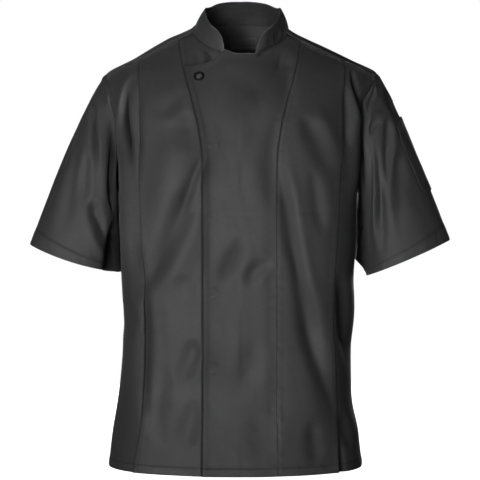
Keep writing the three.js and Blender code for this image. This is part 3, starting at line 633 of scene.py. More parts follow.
# Creases of the back, as seen from the front, in the same way
BACK_CREASES = [
    ([(-40, -170), (-52, -330), (-70, -640)], 20, 6, 0.3),
    ([(55, -200), (62, -400), (75, -690)], 22, 6, -0.3),
    ([(-135, -250), (-128, -420), (-120, -680)], 18, 5, 0.3),
    ([(140, -270), (136, -400), (128, -600)], 17, 5, -0.3),
    ([(-178, -150), (-150, -210), (-128, -300)], 12, 5, 0.4),
    ([(180, -150), (150, -215), (124, -310)], 12, 5, -0.4),
    ([(-60, -40), (0, -52), (64, -38)], 10, 2.5, -0.4),
    ([(-150, -110), (-100, -150), (-52, -230)], 16, 3.5, 0.35),
    ([(156, -116), (110, -160), (60, -240)], 15, 3.5, -0.35),
    ([(-20, -420), (10, -520), (4, -640)], 18, 3.5, 0.3),
    ([(-168, -430), (-150, -500), (-160, -600)], 12, 4, 0.3),
    ([(170, -470), (152, -540), (158, -650)], 12, 4, 0.3),
    ([(-100, -560), (-92, -690)], 13, 3, 0.3),
    ([(30, -560), (22, -700)], 14, 3, 0.3),
]


def body_relief(turn, x, z):
    """Relief of the body's cloth, in millimetres outward."""
    front = np.sin(turn) <= 0
    shade = creased(FRONT_CREASES, x, z) * front + creased(BACK_CREASES, x, z) * ~front
    loose = ease(20, -120, z)
    slow = noise(x / 47 + 9, z / 120, 3) * 1.3 + noise(x / 24, z / 60 + 5, 4) * 0.7
    quick = noise(x / 11 + z / 40, z / 23, 5) * 0.22
    side = ease(0, 30, np.abs(smooth_body(turn, z)[..., 1]))
    return shade + (slow * loose + quick) * side


def hem_wave(x, z):
    """How far the hem's edge wanders in and out."""
    return noise(x / 55, np.zeros_like(x), 21) * 2.0 * (1 - ease(HEM_Z, HEM_Z + 110, z))


# Width of the turned-in layers beside a sewn edge
SEAM_WIDTH = 7.2


def sewn(off, along, seed, rise=0.6, rows=STITCH_ROWS, pucker=0.5):
    """Relief beside a sewn edge: the turned-in layers lift the cloth, each row of stitches presses
    a groove, and the cloth puckers beside it."""
    lift = rise * (1 - ease(SEAM_WIDTH, SEAM_WIDTH + 2.2, off)) - 0.5 * bump(off, 0.7)
    for row in rows:
        lift = lift - 0.4 * bump(off - row, 0.65)
    ripple = noise(along / 8.5 + off / 30, off / 60, seed)
    ripple = ripple + 0.5 * noise(along / 4.1, off / 40, seed + 1)
    return lift + pucker * ripple * bump(off - SEAM_WIDTH * 0.6, SEAM_WIDTH * 1.3)


def armhole_edge(off, up, seed, hole):
    """Relief beside an armhole, where hole is 1, and beside the plain seam below it."""
    return sewn(off, up, seed, rise=0.5) * hole - 0.8 * bump(off, 2.5) * (1 - hole)


def hemmed(off, along, seed):
    """Relief of a turned-up hem, which ropes slantwise between its edge and its stitches."""
    lift = 0.5 * (1 - ease(HEM_HEIGHT + 0.6, HEM_HEIGHT + 2.4, off)) - 0.5 * bump(off, 0.7)
    lift = lift - 0.45 * bump(off - HEM_HEIGHT, 0.8)
    rope = noise(along / 7.5 + off / 9, off / 30, seed)
    rope = rope * bump(off - HEM_HEIGHT * 0.5, HEM_HEIGHT * 0.75)
    sag = noise(along / 12, off / 30, seed + 1) * bump(off - HEM_HEIGHT, 12)
    return lift + 0.5 * rope + 0.35 * sag


# Meshes


def runs(points, axis):
    """Distance along a grid's rows or columns."""
    step = np.linalg.norm(np.diff(points, axis=axis), axis=-1)
    pad = [(0, 0), (0, 0)]
    pad[axis] = (1, 0)
    return np.pad(np.cumsum(step, axis=axis), pad)


def vertex_normals(points, faces):
    a, b, c, d = (points[faces[:, k]] for k in range(4))
    normal = np.cross(c - a, d - b)
    total = np.zeros_like(points)
    for k in range(4):
        np.add.at(total, faces[:, k], normal)
    return total / np.maximum(np.linalg.norm(total, axis=1, keepdims=True), 1e-12)


def mesh_object(name, points, faces, uvs=None, tone=None):
    """A smooth object from points in millimetres and faces."""
    mesh = bpy.data.meshes.new(name)
    mesh.from_pydata((np.asarray(points) * MM).tolist(), [], [list(map(int, face)) for face in faces])
    mesh.polygons.foreach_set("use_smooth", np.ones(len(mesh.polygons), bool))
    if uvs is not None:
        layer = mesh.uv_layers.new(name="cloth")
        layer.data.foreach_set("uv", (np.asarray(uvs) * MM).reshape(-1).astype(np.float32))
    if tone is not None:
        layer = mesh.attributes.new("tone", "FLOAT", "POINT")
        layer.data.foreach_set("value", np.asarray(tone, np.float32))
    mesh.update()
    obj = bpy.data.objects.new(name, mesh)
    bpy.context.scene.collection.objects.link(obj)
    return obj


# Rim of a wall: shares of its thickness at which its lines lie, and how far they stand out
RIM_SHARES = (0.2, 0.8)
RIM_OUT = 0.35


class Wall:
    """A closed cloth wall made from grids of points that share vertices. A grid is (points, relief,
    tone), with rows and columns ordered so that columns x rows points out of the cloth."""

    def __init__(self, name, grids, thickness=CLOTH, closed=False, rim_tone=0.0, inner_tone=0.0):
        sizes = [g[0].shape[:2] for g in grids]
        flat = np.concatenate([g[0].reshape(-1, 3) for g in grids])
        relief, tone = (
            np.concatenate([np.broadcast_to(g[k], s).reshape(-1) for g, s in zip(grids, sizes)])
            for k in (1, 2)
        )
        key = np.round(flat, 3) + 0.0
        _, first, same = np.unique(key, axis=0, return_index=True, return_inverse=True)
        same = same.reshape(-1)
        points, relief, tone = flat[first], relief[first], tone[first]
        faces, uvs, self.ids = [], [], []
        start = 0
        for (grid, *_), (m, n) in zip(grids, sizes):
            ids = same[start : start + m * n].reshape(m, n)
            start += m * n
            if closed:
                ids = np.concatenate([ids, ids[:, :1]], axis=1)
                grid = np.concatenate([grid, grid[:, :1]], axis=1)
            uv = np.stack([runs(grid, 1), runs(grid, 0)], axis=-1)
            for out, values in ((faces, ids), (uvs, uv)):
                cell = (values[:-1, :-1], values[:-1, 1:], values[1:, 1:], values[1:, :-1])
                out.append(np.stack(cell, axis=2).reshape(-1, 4, *values.shape[2:]))
            self.ids.append(ids)
        faces, uvs = np.concatenate(faces), np.concatenate(uvs)
        points = points + vertex_normals(points, faces) * relief[:, None]
        normals = vertex_normals(points, faces)
        self.points, self.normals = points, normals
        count = len(points)
        # Rim: from the outer face round a bulging edge to the inner one
        directed = np.concatenate([faces[:, [k, (k + 1) % 4]] for k in range(4)])
        corner_uv = np.concatenate([uvs[:, [k, (k + 1) % 4]] for k in range(4)])
        codes = directed[:, 0] * count + directed[:, 1]
        border = ~np.isin(codes, directed[:, 1] * count + directed[:, 0])
        rim, rim_uv = directed[border], corner_uv[border]
        out = np.zeros_like(points)
        ways = np.cross(points[rim[:, 1]] - points[rim[:, 0]], normals[rim[:, 0]])
        for k in range(2):
            np.add.at(out, rim[:, k], ways)
        out /= np.maximum(np.linalg.norm(out, axis=1, keepdims=True), 1e-12)
        edge = np.unique(rim)
        place = np.full(count, -1)
        place[edge] = np.arange(len(edge))
        layers = [points, points - normals * thickness]
        for share in RIM_SHARES:
            inward = normals[edge] * thickness * share
            layers.append(points[edge] - inward + out[edge] * thickness * RIM_OUT)
        a, b = rim[:, 0], rim[:, 1]
        upper, lower = 2 * count + place, 2 * count + len(edge) + place
        strips = [(a, b, upper[a], upper[b]), (upper[a], upper[b], lower[a], lower[b])]
        strips.append((lower[a], lower[b], a + count, b + count))
        all_faces = [faces, faces[:, ::-1] + count]
        all_uvs = [uvs, uvs[:, ::-1]]
        for p, q, r, s in strips:
            all_faces.append(np.stack([q, p, r, s], axis=1))
            all_uvs.append(rim_uv[:, [1, 0, 0, 1]])
        inner_tones = np.full(count, inner_tone)
        tones = np.concatenate([tone, inner_tones, np.full(2 * len(edge), rim_tone)])
        self.object = mesh_object(
            name, np.concatenate(layers), np.concatenate(all_faces), np.concatenate(all_uvs), tones
        )

    def line(self, grid, rows, columns):
        """(points, normals) of the outer face along mesh lines of one of its grids."""
        ids = self.ids[grid][rows, columns]
        return self.points[ids], self.normals[ids]


def resampled(points, normals, pitch):
    """Middles, directions and normals of marks that follow a line at a pitch."""
    run = np.concatenate([[0], np.cumsum(np.linalg.norm(np.diff(points, axis=0), axis=1))])
    count = int(run[-1] // pitch)
    at = (np.arange(count) + 0.5) * pitch
    read = lambda values, where: np.stack([np.interp(where, run, values[:, k]) for k in range(3)], 1)
    middle, normal = read(points, at), read(normals, at)
    way = read(points, at + 0.4) - read(points, at - 0.4)
    way /= np.maximum(np.linalg.norm(way, axis=1, keepdims=True), 1e-9)
    normal -= (normal * way).sum(1, keepdims=True) * way
    normal /= np.maximum(np.linalg.norm(normal, axis=1, keepdims=True), 1e-9)
    return middle, way, normal


# Stitches, and the four corners round a stitch as shares of its half width and its width
STITCH_PITCH = 3.1
STITCH_LENGTH = 2.5
STITCH_WIDTH = 0.62
STITCH_RING = [(0.0, 0.62), (1.0, 0.1), (0.0, -0.4), (-1.0, 0.1)]


def stitch_marks(middle, way, normal):
    """Points and faces of one spindle of thread at each mark."""
    side = np.cross(normal, way)
    points = [middle - way * STITCH_LENGTH / 2 - normal * 0.2]
    for share in (-0.24, 0.24):
        for across_share, up in STITCH_RING:
            corner = side * across_share * STITCH_WIDTH / 2 + normal * up * STITCH_WIDTH
            points.append(middle + way * share * STITCH_LENGTH + corner)
    points.append(middle + way * STITCH_LENGTH / 2 - normal * 0.2)
    points = np.stack(points, axis=1)
    faces = []
    for k in range(4):
        n = (k + 1) % 4
        faces += [(0, 1 + n, 1 + k), (1 + k, 1 + n, 5 + n), (1 + k, 5 + n, 5 + k), (5 + k, 5 + n, 9)]
    faces = np.array(faces)[None] + 10 * np.arange(len(middle))[:, None, None]
    return points.reshape(-1, 3), faces.reshape(-1, 3)


def join_marks(name, marks):
    points, faces, start = [], [], 0
    for p, f in marks:
        points.append(p)
        faces.append(f + start)
        start += len(p)
    return mesh_object(name, np.concatenate(points), np.concatenate(faces))


def stitch_lines(name, lines):
    return join_marks(name, [stitch_marks(*resampled(p, n, STITCH_PITCH)) for p, n in lines])


# Cloth pieces of the body


def panel_grid(turn, z, extra, tone):
    """A grid of the body with its creases and a piece's own relief."""
    points = smooth_body(turn, z)
    x = points[..., 0]
    relief = body_relief(turn, x, z) + hem_wave(x, z)
    front = np.sin(turn) <= 0
    calm = 1 - bump(np.hypot(x - STUD_PLACE[0], z - STUD_PLACE[1]), STUD_CALM) * front
    # Painted light and shade of the front's creases.
    tone = tone + creased(FRONT_PAINTED_SHADING, x, z) * front
    lowered = 1 - ease(HEM_Z, HEM_Z + HEM_REACH, z)
    points[..., 2] += HEM_RISE * (x / reach(np.full_like(z, HEM_Z), x)) ** 2 * lowered
    return points, relief * calm + extra, np.array(np.broadcast_to(tone, x.shape))


def facing_out(grid, sign):
    """A grid whose columns run to the wearer's left, turned round where they run to the right."""
    return grid if sign > 0 else tuple(layer[:, ::-1] for layer in grid)


def painted_seam_shade(off, rows=STITCH_ROWS, depth=1.0):
    """Tone beside a seam: painted shade in its groove and its rows of stitches, a little painted light
    between.
    """
    stitches = sum(bump(off - row, 0.9) for row in rows)
    return 0.3 * bump(off - 4, 3) - depth * bump(off, 1.5) - 0.55 * stitches


def lap_seam_painted_shade(z):
    """How dark the painted shade of the lap's sewn seam is: less and less below the chest."""
    return mix(0.15, 1.0, ease(-300, -190, z))


def painted_edge_highlight(off):
    """Tone beside a free, folded edge: a painted highlight where the fold catches the light."""
    return 0.7 * bump(off, 1.8)


def painted_hem_shading(off):
    """Tone of a hem: a painted highlight on its fold and over its middle, painted shade in its row of
    stitches.
    """
    tone = 0.35 * bump(off, 1.8) - 0.6 * bump(off - HEM_HEIGHT, 1.2)
    return tone + 0.2 * bump(off - HEM_HEIGHT / 2, 4)


def seam_ridge(off, along):
    """(relief, tone) of the ridge that a topstitched seam raises below itself, with its wrinkles; its
    tone is a painted highlight on the ridge.
    """
    wrinkles = 0.65 + 0.5 * noise(along / 7, off / 20, 25)
    return 2.3 * wrinkles * bump(off - 4, 3.2), 2.8 * wrinkles * bump(off - 4, 3)


def along_body(z):
    return z - HEM_Z


def side_panel(sign):
    """A side panel, from its seam with the front to the armhole and the back's edge."""
    side = PI if sign < 0 else 0.0
    rows = body_rows()
    top = column_top(lambda z: side_seam_x(z, sign))
    z0 = row_z(rows, top)
    inner = turn_at(side_seam_x(z0, sign), z0, True)
    above = np.maximum(rows - LOW_ROWS, 0) / (MID_ROWS + TOP_ROWS)
    hole_turn, hole_z = armhole(sign, mix(PI, ARMHOLE_SEAM_ANGLE, above))
    low = rows <= LOW_ROWS
    outer = np.where(low, -side, hole_turn)
    outer_z = np.where(low, z0, hole_z)
    straight = smooth_body(outer, outer_z) - smooth_body(inner, z0)
    width = np.linalg.norm(straight, axis=-1) * SIDE_BULGE
    share = stretched(lines_across(SIDE_WIDTH, COLUMN_PITCH), np.maximum(width, SIDE_LEAST))
    turn, z = mix(inner, outer, share), mix(z0, outer_z, share)
    first, last = share * width, (1 - share) * width
    up = along_body(z)
    top_off = (FRONT_ROWS - rows) / TOP_ROWS * (top - YOKE_Z)
    extra = sewn(first, up, 31, pucker=0.55, rows=(), rise=0.1)
    hole = ease(0, 12, z - UNDERARM_Z)
    extra = extra + armhole_edge(last, up, 33, hole)
    extra = extra + hemmed(up, first + 40 * sign, 35) + sewn(top_off, first, 37, rise=0.2, rows=())
    vent = 1 - ease(HEM_Z, VENT_Z, z)
    deep, wide, darker = SIDE_VENTS[sign]
    extra = extra - deep * vent * bump(first, wide)
    tone = painted_seam_shade(first, rows=()) + painted_seam_shade(last, rows=STITCH_ROWS[1:]) * hole + painted_hem_shading(up)
    # Painted shade in the vent, beside the front's edge.
    tone = tone - darker * vent * bump(first, VENT_PAINTED_SHADE_REACH)
    ridge_relief, ridge_highlight = seam_ridge(top_off, first)
    return facing_out(panel_grid(turn, z, extra + ridge_relief, tone + ridge_highlight), sign)


def front_panel(sign):
    """A front, from its seam beside the middle to the side panel."""
    rows = body_rows()
    level = row_z(rows, 0.0)
    width = (np.abs(side_seam_x(level, sign)) - CENTRE(level)) * FRONT_BULGE
    share = stretched(lines_across(FRONT_WIDTH, COLUMN_PITCH), np.maximum(width, FRONT_LEAST))

    def seam_x(z):
        return mix(sign * CENTRE(z), side_seam_x(z, sign), share)

    z = row_z(rows, column_top(seam_x))
    x = seam_x(z)
    first, last = share * width, (1 - share) * width
    up = along_body(z)
    vent = 1 - ease(HEM_Z, VENT_Z, z)
    top_off = (FRONT_ROWS - rows) / TOP_ROWS * FRONT_TOP_LENGTH
    laps, stands_out, start = FRONT_VENTS[sign]
    x = x + sign * laps * vent * share**5
    extra = sewn(last, up, 41, rise=0.75) + hemmed(up, first, 43)
    extra = extra + sewn(top_off, first, 45, rise=0.2, rows=())
    # The side seam's and hem's painted shading, and a painted highlight along the front's edge over the
    # vent.
    tone = painted_seam_shade(last) + painted_hem_shading(up) + 0.5 * vent * bump(last, 2)
    if sign > 0:
        extra = extra + sewn(first, up, 47, rise=0.3, rows=STITCH_ROWS[:1])
        tone = tone + painted_seam_shade(first, STITCH_ROWS[:1], lap_seam_painted_shade(z))
    else:
        # Beside the lap's edge the cloth dips, with a painted shadow of the lap's edge.
        extra = extra - 1.2 * bump(first, 2)
        tone = tone - bump(first, 2.2)
    extra = extra + stands_out * vent * ease(start, 1, share)
    ridge_relief, ridge_highlight = seam_ridge(top_off, first)
    grid = panel_grid(turn_at(x, z, True), z, extra + ridge_relief, tone + ridge_highlight)
    return facing_out(grid, sign)


# Creases of the underlap's neck edge
UNDERLAP_CREASES = [
    ([(-70, -30), (-66, -42), (-68, -60)], 3.6, 3.4, 0.5),
    ([(-60, -30), (-55, -42), (-56, -60)], 3.2, -2.6, 0.4),
    ([(-50, -31), (-46, -42), (-49, -58)], 3.0, 3.6, 0.5),
    ([(-41, -33), (-38, -42), (-41, -54)], 2.8, -3.0, 0.5),
]


def underlap():
    """The under layer of the right front, behind the lap."""
    rows = body_rows()
    share = mix(-1, 0.5, lines_across(UNDERLAP_WIDTH, COLUMN_PITCH) / UNDERLAP_WIDTH)[None]

    def seam_x(z):
        return share * CENTRE(z)

    hidden = 5 * ease(-0.28, -0.16, share)
    z = row_z(rows, column_top(seam_x) - hidden)
    x = seam_x(z)
    first = (share + 1) * CENTRE(z)
    up = along_body(z)
    extra = sewn(first, up, 51, rise=0.3, rows=STITCH_ROWS[:1]) + hemmed(up, first, 53)
    extra = extra + creased(UNDERLAP_CREASES, x, z) * ease(0, 7, front_top(x) - z)
    # Painted shade just above the lap's top edge and below the collar's foot, and the hem's painted
    # shading.
    tone = painted_hem_shading(up) - 0.9 * bump(z - flap_top(x) - 1, 4.5) - 0.9 * bump(front_top(x) - z, 3.5)
    return panel_grid(turn_at(x, z, True), z, extra, tone)


def lap():
    """The wide panel that closes over the wearer's right side."""
    rows = body_rows()
    share = mix(-1, 1, lines_across(LAP_WIDTH, COLUMN_PITCH) / LAP_WIDTH)[None]

    def seam_x(z):
        return share * CENTRE(z)

    # The top edge lies lower under the collar and higher near the collar's right end.
    drop = 3.4 * plateau(0.12, 0.26, 0.94, 1, share) - 4 * bump(share + 0.26, 0.13)
    z = row_z(rows, column_top(seam_x, flap_top) - drop)
    x = seam_x(z)
    first, last = (share + 1) * CENTRE(z), (1 - share) * CENTRE(z)
    up = along_body(z)
    top_off = (FRONT_ROWS - rows) / TOP_ROWS * mix(*LAP_TOP_LENGTHS, ease(-1, 0, share))
    lift = LAP_LIFT * (1 - ease(0.6, 0.97, share))
    curl = 0.9 * bump(first, 9) * (0.6 + 0.5 * noise(up / 70, np.zeros_like(up), 57))
    extra = lift + curl + sewn(first, up, 55, rise=0.4, rows=(), pucker=0.25)
    extra = extra + sewn(last, up, 58, rise=0.2, rows=(), pucker=0.3) + hemmed(up, first, 59)
    extra = extra + sewn(top_off, first, 61, rise=0.5, rows=(), pucker=0.3)
    # The neck edge rolls outward before the underlap.
    extra = extra + 2.4 * bump(x + 44, 26) * bump(top_off - 5, 6)
    # Each hidden snap raises part of a ring in the cloth, with a painted highlight on its lower half and
    # painted shade round it.
    snap_painted_shading = 0
    for snap_z in SNAP_HEIGHTS:
        off = np.hypot(x - SNAP_X, z - snap_z)
        arc = clamp(0.4 + 0.9 * noise(x / 7, z / 7, 65), 0, 1)
        below = ease(2, -5, z - snap_z)
        extra = extra + 1.1 * arc * bump(off - 7, 2.0) - 0.4 * bump(off, 4)
        snap_painted_shading = snap_painted_shading + arc * (1.5 * below * bump(off - 6, 1.7) - 0.4 * bump(off - 9, 1.8))
    # Painted shadow along the lap's free edge.
    uneven = 0.6 + 0.5 * noise(up / 60, np.zeros_like(up), 63)
    tone = painted_hem_shading(up) - 0.9 * bump(first, 1.6) - 0.35 * uneven * bump(first - 6, 7) + snap_painted_shading
    # Painted highlight along the neck edge, and painted shade below and behind the collar's left end.
    neck_highlight_span = plateau(-34, -24, 22, 30, x)
    collar_shadow_spot = bump(np.hypot((x - 31) / 1.6, z + 38), 3)
    collar_shadow_side = ease(26, 34, x)
    tone = tone + painted_edge_highlight(top_off) * (1 - collar_shadow_side) - 1.0 * collar_shadow_side * bump(top_off, 3.5)
    tone = tone + painted_seam_shade(last, (), lap_seam_painted_shade(z)) - 1.2 * collar_shadow_spot
    tone = tone + 5.0 * neck_highlight_span * bump(top_off - 1, 1.9)
    return panel_grid(turn_at(x, z, True), z, extra, tone)


# Over the shoulders a point is given by x and by how far it lies before (positive) or behind the
# ridge, in steps that even out the ridge's curve.
RIDGE_POWER = 1.35


def before_ridge(turn, z):
    """A point of the body in these two measures."""
    x = smooth_body(turn, z)[..., 0]
    below = np.maximum(0, ridge(x) - z) ** (1 / RIDGE_POWER)
    return x, np.where(np.sin(turn) <= 0, below, -below)


def from_ridge(x, w):
    """The angle and height of a point given in them."""
    z = ridge(x) - np.abs(w) ** RIDGE_POWER
    return turn_at(x, z, w > 0), z


STRAP_COLUMNS = SIDE_COLUMNS + FRONT_COLUMNS + 1
BACK_COLUMNS = 2 * STRAP_COLUMNS + NECK_COLUMNS
STRAP_PITCH = 2.6
STRAP_LINES = 36
NECK_LINES = 52
COLUMNS_PER_MM = 0.077


def neck_over(sign, angle):
    """A point of the neckline in them, on either side."""
    x, y, z = neck_point(angle)
    return before_ridge(turn_at(sign * x, z, y < 0), z)


def shoulder_seam(sign, at):
    """The shoulder seam before the ridge, at columns from the armhole (0) to the neckline."""
    top = column_top(lambda z: side_seam_x(z, sign))
    inner = turn_at(side_seam_x(top, sign), top, True)
    outer, outer_z = armhole(sign, ARMHOLE_SEAM_ANGLE)
    side_share = 1 - clamp(at / SIDE_COLUMNS, 0, 1)
    sx, sw = before_ridge(mix(inner, outer, side_share), mix(top, outer_z, side_share))
    front_share = 1 - clamp((at - SIDE_COLUMNS) / FRONT_COLUMNS, 0, 1)

    def seam_x(z):
        return mix(sign * CENTRE(z), side_seam_x(z, sign), front_share)

    z = column_top(seam_x)
    fx, fw = before_ridge(turn_at(seam_x(z), z, True), z)
    nx, nw = neck_over(sign, np.array(-NECK_SEAM_ANGLE))
    last = clamp(at - SIDE_COLUMNS - FRONT_COLUMNS, 0, 1)
    fx, fw = mix(fx, nx, last), mix(fw, nw, last)
    near_side = at <= SIDE_COLUMNS
    return np.where(near_side, sx, fx), np.where(near_side, sw, fw)


def shoulder_crest(sign, at):
    """The x of the ridge's stations, from the armhole to the neckline."""
    seam = shoulder_seam(sign, np.minimum(at, STRAP_COLUMNS - 1))[0]
    neck = neck_over(sign, np.array(NECK_RIDGE_ANGLE))[0]
    return mix(seam, neck, clamp(at - (STRAP_COLUMNS - 1), 0, 1))


def patch(start, stop, first, last, v, u):
    """Values between four edges: the first and last rows, and the first and last columns."""
    corners = mix(mix(start[:, :1], start[:, -1:], u), mix(stop[:, :1], stop[:, -1:], u), v)
    return mix(start, stop, v) + mix(first, last, u) - corners


def strap_grid(sign, at):
    """The back's strip before the ridge of a shoulder, down to the shoulder seam."""
    rows = lines_across(STRAP_LENGTH, STRAP_PITCH, (0, STRAP_PITCH), EDGE_LINES)[:, None] / STRAP_LENGTH
    crest = shoulder_crest(sign, at)[None]
    seam_x, seam_w = (v[None] for v in shoulder_seam(sign, at))
    hole_x, hole_w = before_ridge(*armhole(sign, rows * ARMHOLE_SEAM_ANGLE))
    hole_x = np.where(rows == 0, crest[:, :1], hole_x)
    neck_x, neck_w = neck_over(sign, mix(NECK_RIDGE_ANGLE, -NECK_SEAM_ANGLE, rows))
    u = at[None] / STRAP_COLUMNS
    x = patch(crest, seam_x, hole_x, neck_x, rows, u)
    w = patch(0 * crest, seam_w, hole_w, neck_w, rows, u)
    x[0], w[0] = crest[0], 0
    turn, z = from_ridge(x, w)
    from_hole = np.abs(np.abs(hole_x) - np.abs(x))
    off_seam = (1 - rows) * STRAP_LENGTH + 0 * x
    extra = sewn(off_seam, np.abs(x), 71, rise=1.5, pucker=0.9)
    extra = extra + sewn(from_hole, rows * STRAP_LENGTH, 73, rise=0.4, rows=(), pucker=0.3)
    fade = ease(0, 0.3, rows)
    # Painted highlight on the ridge below the shoulder seam, and a little painted shade at the seam's
    # edge.
    tone = 2.6 * bump(off_seam - 3.5, 3) - 0.3 * bump(off_seam, 0.8)
    return panel_grid(turn, z, extra * fade, tone * fade)


def back_lines():
    """Columns of the back, in steps of the solid's own columns."""
    near = np.array(EDGE_LINES) * COLUMNS_PER_MM
    over = np.linspace(near[-1], STRAP_COLUMNS, STRAP_LINES)[1:]
    half = np.concatenate([near, over])
    neck = np.linspace(STRAP_COLUMNS, BACK_COLUMNS - STRAP_COLUMNS, NECK_LINES)[1:-1]
    return half, np.concatenate([half, neck, (BACK_COLUMNS - half)[::-1]])


def back():
    """The back up to the shoulders' ridge, and a strip before the ridge on each side."""
    half, at = back_lines()
    low = body_rows()
    low = low[low[:, 0] <= LOW_ROWS + MID_ROWS]

    def lower(rows):
        spread = 1 - 2 * at[None] / BACK_COLUMNS
        sign = np.where(spread < 0, -1.0, 1.0)
        z = row_z(rows, 0.0)
        above = np.maximum(rows - LOW_ROWS, 0) / MID_ROWS
        angle = mix(PI, 2 * PI - ARMHOLE_YOKE_ANGLE, above)
        hole = smooth_body(*armhole(sign, angle + 0 * sign))
        is_low = rows <= LOW_ROWS
        edge_x = np.where(is_low, reach(z, sign), np.abs(hole[..., 0]))
        edge_z = np.where(is_low, z, hole[..., 2])
        level = mix(z, edge_z, spread**2)
        widest = np.arcsin(clamp(edge_x / reach(edge_z, sign), 0, 1))
        x = reach(level, sign) * np.sin(spread * widest)
        return turn_at(x, level, False), level

    turn, z = lower(low)
    bottom_turn, bottom_z = lower(np.array([[float(LOW_ROWS + MID_ROWS)]]))
    bottom_x, bottom_w = before_ridge(bottom_turn, bottom_z)
    neck_share = clamp((at - STRAP_COLUMNS) / NECK_COLUMNS, 0, 1)
    neck_x, neck_w = neck_over(1, mix(NECK_RIDGE_ANGLE, PI - NECK_RIDGE_ANGLE, neck_share))
    left = at <= STRAP_COLUMNS
    right = at >= BACK_COLUMNS - STRAP_COLUMNS
    crest_x = np.where(left, shoulder_crest(1, np.minimum(at, STRAP_COLUMNS)), neck_x)
    other = np.minimum(BACK_COLUMNS - at, STRAP_COLUMNS)
    crest_x = np.where(right, shoulder_crest(-1, other), crest_x)[None]
    crest_w = np.where(left | right, 0, neck_w)[None]
    v = lines_across(YOKE_LENGTH, ROW_PITCH, (0, ROW_PITCH), (0, ROW_PITCH))[1:, None] / YOKE_LENGTH
    u = at[None] / BACK_COLUMNS
    yoke_angle = mix(2 * PI - ARMHOLE_YOKE_ANGLE, 2 * PI, v)
    (left_x, left_w), (right_x, right_w) = (
        before_ridge(*armhole(sign, yoke_angle)) for sign in (1, -1)
    )
    x = patch(bottom_x, crest_x, left_x, right_x, v, u)
    w = patch(bottom_w, crest_w, left_w, right_w, v, u)
    x[-1], w[-1] = crest_x[0], crest_w[0]
    yoke_turn, yoke_z = from_ridge(x, np.minimum(w, 0))
    turn, z = np.concatenate([turn, yoke_turn]), np.concatenate([z, yoke_z])
    points = smooth_body(turn, z)
    run = runs(points, 1)
    first, last = run, run[:, -1:] - run
    up = along_body(z)
    hole = ease(0, 12, z - UNDERARM_Z)
    extra = hemmed(up, run, 81)
    extra = extra + armhole_edge(first, up, 83, hole) + armhole_edge(last, up, 85, hole)
    extra = extra * np.concatenate([np.ones_like(low), 1 - ease(0.75, 1, v)])
    edges = painted_seam_shade(first, rows=STITCH_ROWS[1:]) + painted_seam_shade(last, rows=STITCH_ROWS[1:])
    main = panel_grid(turn, z, extra, painted_hem_shading(up) + edges * hole)
    grids = [main]
    for sign in (1, -1):
        strap = strap_grid(sign, half)
        for layer, whole in zip(strap, main):
            layer[0] = whole[-1, :: sign][: len(half)]
        grids.append(facing_out(strap, sign))
    return grids


# Collar


COLLAR_PITCH = 2.0
COLLAR_SLANT = 0.024
COLLAR_BACK_RISE = 3.0
COLLAR_STEP_IN = 5.5
COLLAR_STEP_HEIGHT = 7.0
COLLAR_SHIFT = 2.5
COLLAR_FORE_LEAN = 0.75
COLLAR_CURVE = 0.45
# Angles from the middle of the back between which its rise there fades
COLLAR_RISE_FADES = (0.8, 1.35)
# Distances from the wearer's right end between which it has painted light or painted shade
COLLAR_PAINTED_LIGHT = (16, 36, 86, 120)
COLLAR_PAINTED_SHADE = (350, 376, 424, 444)
# Creases of the collar: points (distance from the wearer's right end, height), half width, depth, lip
COLLAR_CREASES = [
    ([(395, 1), (398, 12), (393, 24)], 3.2, 3.4, 0.5),
    ([(404, 0), (410, 11), (408, 26)], 3.0, 3.4, -0.5),
    ([(416, 0), (421, 10), (424, 22)], 3.0, 2.6, 0.4),
    ([(380, 1), (376, 16)], 4, 2.4, 0.4),
    ([(40, 2), (48, 14), (44, 28)], 7, 1.4, 0.3),
    ([(225, 20), (262, 25), (284, 22)], 3.0, 2.6, -0.5),
    ([(262, 8), (292, 15), (318, 25)], 4.0, 2.4, 0.4),
    ([(196, 10), (232, 14), (252, 10)], 4.5, -2.2, 0.4),
    ([(238, 27), (256, 31)], 2.4, 1.8, 0.5),
    ([(150, 12), (168, 24)], 5, 1.8, 0.4),
    ([(120, 8), (132, 28)], 6, 1.8, -0.4),
]


